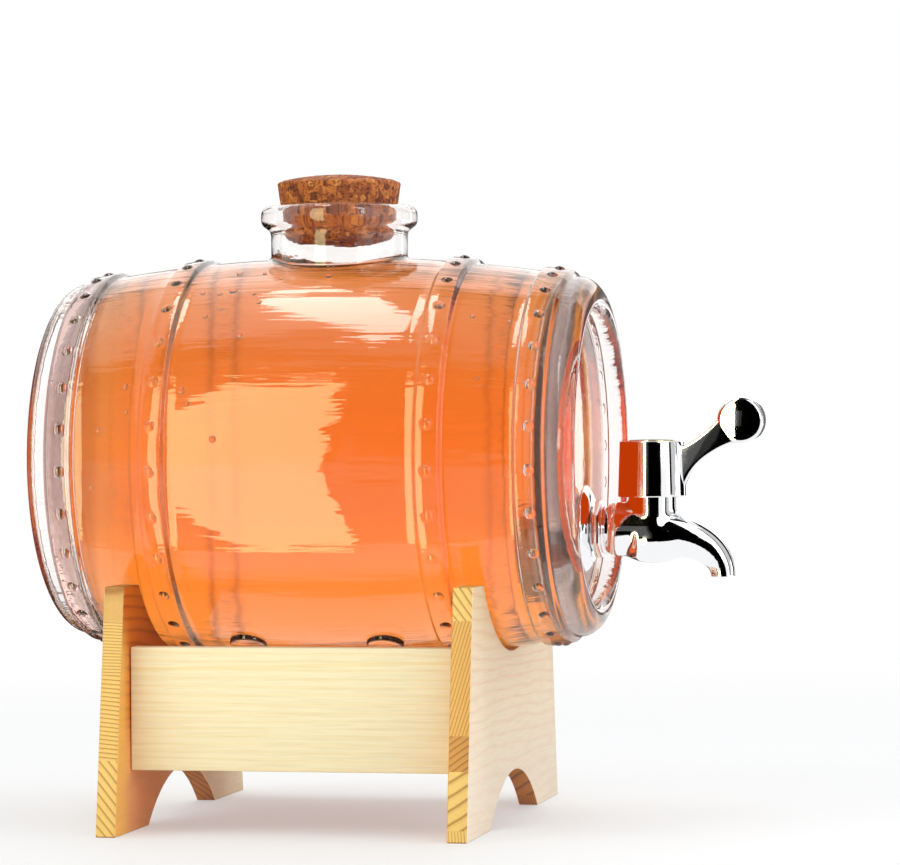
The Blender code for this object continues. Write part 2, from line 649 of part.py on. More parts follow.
def add_valve_plug(brass, silicone, handle):
    """Plug with a cross port, turned by its square tang, and its two ring seals."""
    radius = PLUG_DIAMETER / 2
    groove = radius - SEAL_THICKNESS + SEAL_SQUEEZE
    profile = [(0, PLUG_FOOT), (radius, PLUG_FOOT)]
    for height in SEAL_HEIGHTS:
        low, high = height - SEAL_GROOVE_WIDTH / 2, height + SEAL_GROOVE_WIDTH / 2
        profile += [(radius, low), (groove, low), (groove, high), (radius, high)]
    profile += [(radius, VALVE_NECK_RISE), (0, VALVE_NECK_RISE)]
    plug = piece("valve_plug", turned(profile, TAP_SEGMENTS), brass, handle)
    tang = block(TANG_SIDE, TANG_SIDE, 2 * TANG_HEIGHT)
    join(plug, shifted(tang, (0, 0, VALVE_NECK_RISE)), "tang")
    port = rod(SPOUT_BORE, -PLUG_DIAMETER, PLUG_DIAMETER, SMALL_SEGMENTS)
    bmesh.ops.rotate(port, cent=(0, 0, 0), matrix=Matrix.Rotation(pi / 2, 3, "X"), verts=port.verts)
    cut(plug, port, "port")
    screw_foot = SCREW_SEAT + FIT_GAP - SCREW_LENGTH
    hole = rod(SCREW_DIAMETER + 2 * FIT_GAP, screw_foot - FIT_GAP, TANG_TOP + CUT_OVERRUN, SMALL_SEGMENTS)
    cut(plug, hole, "screw_hole")
    seal_radius = (SEAL_THICKNESS - SEAL_SQUEEZE - FIT_GAP) / 2
    seal_centre = groove + FIT_GAP / 2 + seal_radius
    for label, height in zip(("lower", "upper"), SEAL_HEIGHTS):
        loop = arc((seal_centre, height), seal_radius, 0, 2 * pi, 2 * ARC_STEPS)[:-1]
        piece(f"{label}_seal_ring", ring(loop, BORE_SEGMENTS), silicone, handle)


def lever_stations():
    """Stations along the lever from inside the collar to its seat at the knob."""
    root = Vector((COLLAR_TOP_DIAMETER / 2, 0, LEVER_ROOT_RISE))
    knob = Vector((KNOB_REACH, 0, KNOB_RISE))
    direction = (knob - root).normalized()
    seat = knob - direction * (knob_seat() + FIT_GAP)
    inside = root - direction * COLLAR_TOP_DIAMETER / 4
    stations = [(inside, direction, LEVER_WAIST_DIAMETER / 2)]
    for step in range(LEVER_STEPS + 1):
        share = step / LEVER_STEPS
        if share < LEVER_WAIST_SHARE:
            end, swell = LEVER_ROOT_DIAMETER, (1 - share / LEVER_WAIST_SHARE) ** 2
        else:
            end, swell = LEVER_TIP_DIAMETER, ((share - LEVER_WAIST_SHARE) / (1 - LEVER_WAIST_SHARE)) ** 2
        diameter = LEVER_WAIST_DIAMETER + (end - LEVER_WAIST_DIAMETER) * swell
        stations.append((root.lerp(seat, share), direction, diameter / 2))
    return stations


def knob_seat():
    """Distance from the knob's centre to the flat where the lever meets it."""
    return sqrt((KNOB_DIAMETER / 2) ** 2 - (LEVER_TIP_DIAMETER / 2) ** 2)


def add_handle(chrome, handle):
    """Collar over the valve neck, with the lever and the knob's stud in one piece."""
    foot, top = COLLAR_FOOT_DIAMETER / 2, COLLAR_TOP_DIAMETER / 2
    profile = [(0, COLLAR_LIFT), (foot - COLLAR_EDGE, COLLAR_LIFT), (foot, COLLAR_LIFT + COLLAR_EDGE),
               (top, COLLAR_TOP - COLLAR_EDGE), (top - COLLAR_EDGE, COLLAR_TOP), (0, COLLAR_TOP)]
    collar = piece("tap_handle", turned(profile, TAP_SEGMENTS), chrome, handle)
    stations = lever_stations()
    lever = swept(stations, BORE_SEGMENTS)
    bmesh.ops.scale(lever, vec=(1, LEVER_FLATNESS, 1), verts=lever.verts)
    join(collar, lever, "lever")
    seat, direction, _ = stations[-1]
    stud_radius = LEVER_STUD_DIAMETER / 2
    stud = [(seat - direction * LEVER_STUD_LENGTH, direction, stud_radius),
            (seat + direction * LEVER_STUD_LENGTH, direction, stud_radius)]
    join(collar, swept(stud, SMALL_SEGMENTS), "stud")
    cavity = rod(VALVE_NECK_DIAMETER + 2 * FIT_GAP, COLLAR_LIFT - CUT_OVERRUN, VALVE_NECK_RISE + FIT_GAP,
                 TAP_SEGMENTS)
    cut(collar, cavity, "neck_cavity")
    socket_side = TANG_SIDE + 2 * FIT_GAP
    socket = block(socket_side, socket_side, 2 * (TANG_HEIGHT + FIT_GAP))
    cut(collar, shifted(socket, (0, 0, VALVE_NECK_RISE)), "tang_socket")
    cut(collar, rod(SCREW_DIAMETER + 2 * FIT_GAP, VALVE_NECK_RISE, COLLAR_TOP, SMALL_SEGMENTS), "screw_hole")
    cut(collar, rod(SCREW_HEAD_DIAMETER + 2 * FIT_GAP, SCREW_SEAT, COLLAR_TOP, BORE_SEGMENTS), "screw_seat")
    cut(collar, rod(CAP_DIAMETER + 2 * FIT_GAP, CAP_FLOOR, COLLAR_TOP + CUT_OVERRUN, TAP_SEGMENTS), "cap_recess")


def knob_outline():
    """Half outline of the knob: a softly domed face on each side and a rounded rim."""
    rim = KNOB_DIAMETER / 2 - KNOB_EDGE_ROUND
    face = [(rim * share, KNOB_THICKNESS / 2 - (rim * share) ** 2 / (2 * KNOB_FACE_ROUND)) for share in (0, 0.5)]
    tilt = asin(rim / KNOB_FACE_ROUND)
    edge_height = KNOB_THICKNESS / 2 - rim ** 2 / (2 * KNOB_FACE_ROUND) - KNOB_EDGE_ROUND
    edge = arc((rim, edge_height), KNOB_EDGE_ROUND, pi / 2 - tilt, 0, ARC_STEPS)
    half = face + edge
    return half + [(radius, -height) for radius, height in reversed(half)]


def add_knob(chrome, handle):
    """Thick round knob with domed sides, a flat seat and a blind hole for the lever's stud."""
    _, direction, _ = lever_stations()[-1]
    mesh = turned(knob_outline(), TAP_SEGMENTS)
    bmesh.ops.rotate(mesh, cent=(0, 0, 0), matrix=Matrix.Rotation(pi / 2, 3, "X"), verts=mesh.verts)
    knob = piece("lever_knob", mesh, chrome, handle, (KNOB_REACH, 0, KNOB_RISE))
    seat = -direction * knob_seat()
    beyond = [(seat - direction * KNOB_DIAMETER, direction, KNOB_DIAMETER),
              (seat, direction, KNOB_DIAMETER)]
    cut(knob, swept(beyond, SMALL_SEGMENTS), "seat_flat")
    hole_radius = LEVER_STUD_DIAMETER / 2 + FIT_GAP
    hole = [(seat - direction * CUT_OVERRUN, direction, hole_radius),
            (seat + direction * LEVER_STUD_LENGTH, direction, hole_radius)]
    cut(knob, swept(hole, SMALL_SEGMENTS), "stud_hole")


def add_cap_and_screw(cap_metal, steel, handle):
    """Pressed cap in the top of the collar, and the screw under it."""
    radius = CAP_DIAMETER / 2
    cap_foot = CAP_FLOOR + FIT_GAP
    cap_top = cap_foot + CAP_THICKNESS
    cap_outline = [(0, cap_foot), (radius, cap_foot), (radius, cap_top - CAP_EDGE),
                   (radius - CAP_EDGE, cap_top), (0, cap_top)]
    piece("handle_cap", turned(cap_outline, TAP_SEGMENTS), cap_metal, handle)
    head, shank = SCREW_HEAD_DIAMETER / 2, SCREW_DIAMETER / 2
    seat = SCREW_SEAT + FIT_GAP
    screw_outline = [(0, seat - SCREW_LENGTH), (shank, seat - SCREW_LENGTH), (shank, seat), (head, seat),
                     (head, seat + SCREW_HEAD_HEIGHT / 2), (head / 2, seat + SCREW_HEAD_HEIGHT),
                     (0, seat + SCREW_HEAD_HEIGHT)]
    piece("handle_screw", turned(screw_outline, SMALL_SEGMENTS), steel, handle)


def clear_scene():
    for leftover in list(bpy.data.objects):
        bpy.data.objects.remove(leftover, do_unlink=True)


def build():
    clear_scene()
    pine = material("pine", (0.86, 0.66, 0.38), 0.55)
    beech = material("beech", (0.72, 0.52, 0.32), 0.6)
    glass = material("clear_glass", (0.95, 0.98, 0.97), 0.02, transmission=1)
    cork = material("cork", (0.52, 0.30, 0.14), 0.9)
    chrome = material("chrome", (0.85, 0.86, 0.88), 0.06, metallic=1)
    cap_metal = material("cap_chrome", (0.87, 0.84, 0.74), 0.12, metallic=1)
    steel = material("screw_steel", (0.6, 0.61, 0.63), 0.3, metallic=1)
    brass = material("valve_brass", (0.78, 0.62, 0.3), 0.3, metallic=1)
    silicone = material("silicone", (0.88, 0.88, 0.86), 0.5)
    nylon = material("nylon", (0.9, 0.9, 0.88), 0.4)

    stand = frame_empty("stand_frame", (FRAME_SHIFT, 0, 0))
    barrel = frame_empty("barrel_frame", (0, 0, AXIS_HEIGHT), stand)
    tap = frame_empty("tap_frame", (HEAD_FACE + TAP_REACH, 0, -TAP_DROP), barrel)
    handle = frame_empty("handle_axis", (0, 0, 0), tap)

    add_end_board("front_end_board", 1, pine, stand)
    add_end_board("rear_end_board", -1, pine, stand)
    add_stretcher("left_stretcher", 1, pine, stand)
    add_stretcher("right_stretcher", -1, pine, stand)
    add_dowels(beech, stand)
    add_glass_barrel(glass, barrel)
    add_cork(cork, barrel)
    add_tap_body(chrome, tap)
    add_shank_fittings(chrome, silicone, nylon, tap)
    add_valve_plug(brass, silicone, handle)
    add_handle(chrome, handle)
    add_knob(chrome, handle)
    add_cap_and_screw(cap_metal, steel, handle)


build()
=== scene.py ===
"""Looks of the glass barrel drink dispenser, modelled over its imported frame."""

import json
from math import acos, asin, atan2, copysign, cos, pi, radians, sin, sqrt, tau

import bmesh
import bpy
from mathutils import Matrix, Vector


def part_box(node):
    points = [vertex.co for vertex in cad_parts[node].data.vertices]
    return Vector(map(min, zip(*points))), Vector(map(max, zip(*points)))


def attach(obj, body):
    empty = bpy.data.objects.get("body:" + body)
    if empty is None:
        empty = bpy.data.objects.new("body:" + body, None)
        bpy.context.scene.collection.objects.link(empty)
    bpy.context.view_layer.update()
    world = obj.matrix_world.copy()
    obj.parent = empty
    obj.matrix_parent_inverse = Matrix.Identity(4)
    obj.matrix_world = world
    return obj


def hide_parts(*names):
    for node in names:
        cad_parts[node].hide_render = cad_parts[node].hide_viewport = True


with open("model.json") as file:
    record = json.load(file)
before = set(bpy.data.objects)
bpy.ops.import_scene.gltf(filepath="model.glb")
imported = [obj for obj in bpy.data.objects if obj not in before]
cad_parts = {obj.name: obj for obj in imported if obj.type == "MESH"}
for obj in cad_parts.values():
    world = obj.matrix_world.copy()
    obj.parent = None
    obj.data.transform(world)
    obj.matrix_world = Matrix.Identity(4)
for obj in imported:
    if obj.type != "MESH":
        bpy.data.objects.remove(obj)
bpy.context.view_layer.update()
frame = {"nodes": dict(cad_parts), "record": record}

# Sizes of the real thing, in metres, measured from the barrel's middle and from its axis

WELD = 0.000002
OVERRUN = 0.002
FIT_GAP = 0.0003

BARREL_HALF = 0.1028
BARREL_MIDDLE_RADIUS = 0.0758
BARREL_END_RADIUS = 0.0675
GLASS_WALL = 0.0045
RIM_OUTER_ROUND = 0.0086
RIM_INNER_ROUND = 0.0039
HEAD_RECESS = 0.0087
HEAD_THICKNESS = 0.0065
HEAD_FILLET = 0.0025
CAVITY_CORNER = 0.008
TAP_HOLE_RADIUS = 0.0083
TAP_DROP = 0.0273
DRINK_RISE = 0.0716
DRINK_OVERLAP = 0.00006
HOOP_RISE = 0.0018
HOOP_SHOULDER = 0.0018
HOOPS = ((0.0515, 0.0110), (0.0877, 0.0124))
RIVETS_PER_HOOP = 28
RIVET_RADIUS = 0.0022
RIVET_RISE = 0.0010
RIVET_SUNK = 0.0003
RIVET_TURN = radians(3.2)
PAD_RADIUS = 0.007
PAD_RISE = 0.0016
PAD_ROUND = 0.0008
PAD_OFFSET = 0.0262
PAD_TILT = radians(24.5)

NECK_OFFSET = 0.0023
NECK_RADIUS = 0.0259
NECK_BORE = 0.0226
NECK_TOP = 0.0953
NECK_FLARE = 0.0014
LIP_RADIUS = 0.0297
LIP_HEIGHT = 0.0082
LIP_ROUND = 0.0034
UNDER_LIP = ((0, 0.0035), (0.0003, 0.0018), (0.0012, 0.0006))
MOUTH_ROUND = 0.0016

RIM_START = BARREL_HALF - RIM_OUTER_ROUND
HEAD_FACE = BARREL_HALF - HEAD_RECESS
HEAD_INSIDE = HEAD_FACE - HEAD_THICKNESS

glass_low, glass_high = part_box("glass_barrel")
barrel_x = (glass_low.x + glass_high.x) / 2
axis_z = glass_high.z - NECK_TOP
AXIS = (barrel_x, 0, axis_z)
tap_z = axis_z - TAP_DROP
drink_level = axis_z + DRINK_RISE


# Modelling, as by hand

def deselect():
    """Leave edit mode and let go of everything."""
    if bpy.context.object and bpy.context.object.mode != "OBJECT":
        bpy.ops.object.mode_set(mode="OBJECT")
    bpy.ops.object.select_all(action="DESELECT")


def take(piece):
    """Select one piece alone and make it the active one."""
    deselect()
    piece.select_set(True)
    bpy.context.view_layer.objects.active = piece


def edit(piece):
    """Open a piece in edit mode with all of it selected."""
    take(piece)
    bpy.ops.object.mode_set(mode="EDIT")
    bpy.ops.mesh.select_all(action="SELECT")


def begin(name, add_primitive, **settings):
    """Add a primitive, name it and open it in edit mode with all of it selected."""
    deselect()
    add_primitive(**settings)
    piece = bpy.context.object
    piece.name = piece.data.name = name
    bpy.ops.object.mode_set(mode="EDIT")
    bpy.ops.mesh.select_all(action="SELECT")
    return piece


def trace(name, points, closed=False):
    """Pull one vertex along a line of points and stay in edit mode."""
    piece = begin(name, bpy.ops.mesh.primitive_plane_add, size=OVERRUN)
    bpy.ops.mesh.merge(type="CENTER")
    here = Vector(points[0])
    bpy.ops.transform.translate(value=here)
    for point in points[1:]:
        bpy.ops.mesh.extrude_region_move(TRANSFORM_OT_translate={"value": Vector(point) - here})
        here = Vector(point)
    bpy.ops.mesh.select_all(action="SELECT")
    bpy.ops.mesh.remove_doubles(threshold=WELD)
    if closed:
        bpy.ops.mesh.select_all(action="SELECT")
        bpy.ops.mesh.edge_face_add()
    return piece


def close_shell():
    """Weld seams and poles and face everything outwards, then leave edit mode."""
    bpy.ops.mesh.select_all(action="SELECT")
    bpy.ops.mesh.remove_doubles(threshold=WELD)
    bpy.ops.mesh.normals_make_consistent(inside=False)
    bpy.ops.object.mode_set(mode="OBJECT")


def turn(name, outline, centre, axis, segments):
    """Turn an outline of points once round an axis through a centre."""
    piece = trace(name, outline)
    bpy.ops.mesh.select_all(action="SELECT")
    bpy.ops.mesh.spin(steps=segments, angle=tau, center=centre, axis=axis)
    close_shell()
    return piece


def turn_x(name, profile, segments, place=AXIS):
    """Turn (distance, radius) points round a line along X through a place."""
    outline = [(place[0] + along, place[1], place[2] + radius) for along, radius in profile]
    return turn(name, outline, place, (1, 0, 0), segments)


def turn_z(name, profile, segments, place):
    """Turn (radius, height) points round an upright line through a place."""
    outline = [(place[0] + radius, place[1], place[2] + height) for radius, height in profile]
    return turn(name, outline, place, (0, 0, 1), segments)


def apply_modifier(piece, kind, **settings):
    """Add one modifier, set it and apply it."""
    take(piece)
    modifier = piece.modifiers.new(kind.lower(), kind)
    for setting, value in settings.items():
        setattr(modifier, setting, value)
    bpy.ops.object.modifier_apply(modifier=modifier.name)


def soften(piece, width):
    """Round the sharp edges of a piece."""
    apply_modifier(piece, "BEVEL", width=width, segments=3, limit_method="ANGLE", angle_limit=radians(40))


def combine(piece, tool, operation, solver="MANIFOLD"):
    """Join a tool piece to a piece or cut it away, and drop the tool."""
    apply_modifier(piece, "BOOLEAN", operation=operation, object=tool, solver=solver)
    bpy.data.objects.remove(tool, do_unlink=True)


def finish_in(piece, material, degrees=35):
    """Give the whole piece one material and smooth it up to its creases."""
    piece.data.materials.clear()
    piece.data.materials.append(material)
    for face in piece.data.polygons:
        face.material_index = 0
    take(piece)
    bpy.ops.object.shade_smooth_by_angle(angle=radians(degrees))


def arc(centre, radius, start, end, steps):
    """Points of a round stretch; angles in degrees."""
    points = []
    for step in range(steps + 1):
        angle = radians(start + (end - start) * step / steps)
        points.append((centre[0] + radius * cos(angle), centre[1] + radius * sin(angle)))
    return points


def swapped(points):
    """The same points with their two values exchanged."""
    return [(second, first) for first, second in points]


def mirrored(half):
    """A whole (distance, radius) outline, rear to front, from its front half."""
    return [(-along, radius) for along, radius in reversed(half[1:])] + half


# Materials

MULTIPLY_COLOURS = {"data_type": "RGBA", "blend_type": "MULTIPLY"}


def new_material(name, **sockets):
    """A principled material with some of its sockets set."""
    made = bpy.data.materials.new(name)
    made.use_nodes = True
    shader = made.node_tree.nodes["Principled BSDF"]
    for socket, value in sockets.items():
        label = socket.replace("_", " ").title().replace("Ior", "IOR")
        shader.inputs[label].default_value = (*value, 1) if isinstance(value, tuple) else value
    return made


def nodes(material):
    """A material's tree, its shader and a helper that adds a node; input i3 is the one numbered 3."""
    tree = material.node_tree

    def add(kind, settings=None, **inputs):
        """Add a node, with its settings, and link or set its inputs."""
        made = tree.nodes.new("ShaderNode" + kind)
        for name, value in (settings or {}).items():
            setattr(made, name, value)
        for name, value in inputs.items():
            numbered = name[0] == "i" and name[1:].isdigit()
            socket = made.inputs[int(name[1:]) if numbered else name.replace("_", " ")]
            if isinstance(value, bpy.types.NodeSocket):
                tree.links.new(value, socket)
            else:
                socket.default_value = value
        return made

    return tree, add, tree.nodes["Principled BSDF"]


def ramp(node, *stops):
    """Set a colour ramp's stops to (place, colour) pairs."""
    band = node.color_ramp
    while len(band.elements) > 1:
        band.elements.remove(band.elements[-1])
    for number, (place, colour) in enumerate(stops):
        stop = band.elements[0] if number == 0 else band.elements.new(place)
        stop.position = place
        stop.color = (*colour, 1)


def let_lamps_through(material):
    """Glass that lamp rays pass straight through."""
    tree, add, shader = nodes(material)
    path = add("LightPath")
    clear = add("BsdfTransparent")
    mix = add("MixShader", i0=path.outputs["Is Shadow Ray"], i1=shader.outputs[0], i2=clear.outputs[0])
    tree.links.new(mix.outputs[0], tree.nodes["Material Output"].inputs["Surface"])


GLASS_TINT = (0.875, 0.375, 0.25, 1)
DRINK_TINT = (1.0, 0.61, 0.0, 1)


def glass_material():
    """Clear glass with faint streaks along the barrel, fainter on the heads, and a warm tint in depth."""
    made = new_material("clear_moulded_glass", base_color=(0.985, 0.99, 0.985), roughness=0.0,
                        transmission_weight=1.0, ior=1.5)
    tree, add, shader = nodes(made)
    place = add("TexCoord").outputs["Object"]
    long_map = add("Mapping", Vector=place, Scale=(14, 160, 160))
    long_noise = add("TexNoise", Vector=long_map.outputs[0], Scale=1.0, Detail=3.0, Roughness=0.5)
    wave_map = add("Mapping", Vector=place, Scale=(22, 40, 40))
    wave_noise = add("TexNoise", Vector=wave_map.outputs[0], Scale=1.0, Detail=1.0, Roughness=0.4)
    line_map = add("Mapping", Vector=place, Scale=(10, 620, 620))
    line_noise = add("TexNoise", Vector=line_map.outputs[0], Scale=1.0, Detail=1.0, Roughness=0.5)
    facing = add("SeparateXYZ", Vector=add("TexCoord").outputs["Normal"])
    endways = add("Math", {"operation": "ABSOLUTE"}, i0=facing.outputs["X"])
    on_wall = add("MapRange", Value=endways.outputs[0], i1=0.35, i2=0.95, i3=0.40, i4=0.03)
    lines = add("Bump", Height=line_noise.outputs[0], Strength=on_wall.outputs[0], Distance=0.0002)
    fine = add("Bump", Height=long_noise.outputs[0], Strength=on_wall.outputs[0], Distance=0.0009,
               Normal=lines.outputs[0])
    broad = add("Bump", Height=wave_noise.outputs[0], Strength=on_wall.outputs[0], Distance=0.002,
                Normal=fine.outputs[0])
    tree.links.new(broad.outputs[0], shader.inputs["Normal"])
    tint = add("VolumeAbsorption", Color=GLASS_TINT, Density=5.5)
    tree.links.new(tint.outputs[0], tree.nodes["Material Output"].inputs["Volume"])
    let_lamps_through(made)
    return made


def drink_material():
    """Orange squash: the deeper the drink, the redder."""
    made = new_material("orange_drink", base_color=(1, 1, 1), roughness=0.16,
                        transmission_weight=1.0, ior=1.34)
    tree, add, shader = nodes(made)
    soak = add("VolumeAbsorption", Color=DRINK_TINT, Density=30.0)
    tree.links.new(soak.outputs[0], tree.nodes["Material Output"].inputs["Volume"])
    return made


def water_material():
    """Clear water for the drops."""
    made = new_material("water_drop", base_color=(1, 1, 1), roughness=0.0, transmission_weight=1.0, ior=1.33)
    let_lamps_through(made)
    return made


def chrome_material():
    """Bright plating with a breath of smudges and waves."""
    made = new_material("bright_chrome", base_color=(0.92, 0.925, 0.94), metallic=1.0, roughness=0.05)
    tree, add, shader = nodes(made)
    place = add("TexCoord").outputs["Object"]
    smudge = add("TexNoise", Vector=place, Scale=220.0, Detail=3.0)
    level = add("MapRange", Value=smudge.outputs[0], i3=0.03, i4=0.08)
    tree.links.new(level.outputs[0], shader.inputs["Roughness"])
    wave = add("TexNoise", Vector=place, Scale=90.0, Detail=1.0)
    bump = add("Bump", Height=wave.outputs[0], Strength=0.15, Distance=0.0006)
    tree.links.new(bump.outputs[0], shader.inputs["Normal"])
    return made


def cork_material():
    """Pressed cork: crumbs of several browns with dark and pale flecks."""
    made = new_material("pressed_cork", roughness=0.85)
    tree, add, shader = nodes(made)
    place = add("TexCoord").outputs["Object"]
    warp = add("TexNoise", Vector=place, Scale=260.0, Detail=3.0)
    shifted = add("VectorMath", {"operation": "MULTIPLY_ADD"}, i0=warp.outputs["Color"],
                  i1=(0.003, 0.003, 0.003), i2=place)
    grain = add("TexVoronoi", Vector=shifted.outputs[0], Scale=470.0)
    tone = add("ValToRGB", Fac=grain.outputs["Color"])
    ramp(tone, (0.0, (0.09, 0.015, 0.001)), (0.25, (0.27, 0.054, 0.004)), (0.5, (0.40, 0.093, 0.009)),
         (0.75, (0.58, 0.168, 0.022)), (1.0, (0.80, 0.33, 0.07)))
    fleck = add("TexNoise", Vector=place, Scale=900.0, Detail=4.0, Roughness=0.7)
    dark = add("ValToRGB", Fac=fleck.outputs[0])
    ramp(dark, (0.37, (0.16, 0.09, 0.05)), (0.45, (0.8, 0.72, 0.65)), (0.50, (1, 1, 1)), (0.60, (1, 1, 1)),
         (0.72, (1.6, 1.8, 1.6)))
    mix = add("Mix", MULTIPLY_COLOURS, i0=1.0, i6=tone.outputs[0], i7=dark.outputs[0])
    tree.links.new(mix.outputs[2], shader.inputs["Base Color"])
    bump = add("Bump", Height=fleck.outputs[0], Strength=0.6, Distance=0.0006)
    tree.links.new(bump.outputs[0], shader.inputs["Normal"])
    return made


# Ramps hold the strips of pine: a colour from 0 to 1 is a ring rate from minus to plus half of RATE_SPAN,
# and the whole ramp is RAMP_LENGTH high.

RATE_SPAN = 4000.0
RAMP_LENGTH = 0.1
# Painted light and shade at the inner faces' foot: a shaded reddish tone on the near leg and a pale lit tone on the
# far leg.
NEAR_FOOT_PAINTED_SHADE = (0.90, 0.37, 0.13, 1)
FAR_FOOT_PAINTED_LIGHT = (0.99, 0.79, 0.56, 1)
# Painted light: a golden lit strip along the front corner of the inner faces.
CORNER_PAINTED_LIGHT = (0.92, 0.48, 0.09, 1)
# Painted shade: dark rings on the arch's downward faces.
ARCH_PAINTED_SHADES = ((0.52, 0.17, 0.010), (0.26, 0.06, 0.006))
VEIN_TONE = (0.93, 0.72, 0.27, 1)
VEIN_SLOPE = 0.028
VEIN_DEPTH = 0.0050
VEIN_WANDER = 0.0016
VEIN_HALF = 0.0006
VEIN_SHARE = 0.55
# Spans of the painted foot light and shade, the painted corner light and the fade of the painted warm light.
FOOT_SIDES = (-0.03, 0.03)
FOOT_FADE = (0.042, 0.030)
CORNER_SIDES = (-0.068, -0.078)
CORNER_FADE = (0.082, 0.066)
PAINTED_GLOW_FADE = (0.090, 0.015)
ENDWAYS = 0.55
INWARDS = -0.01
DOWNWARDS = -0.3


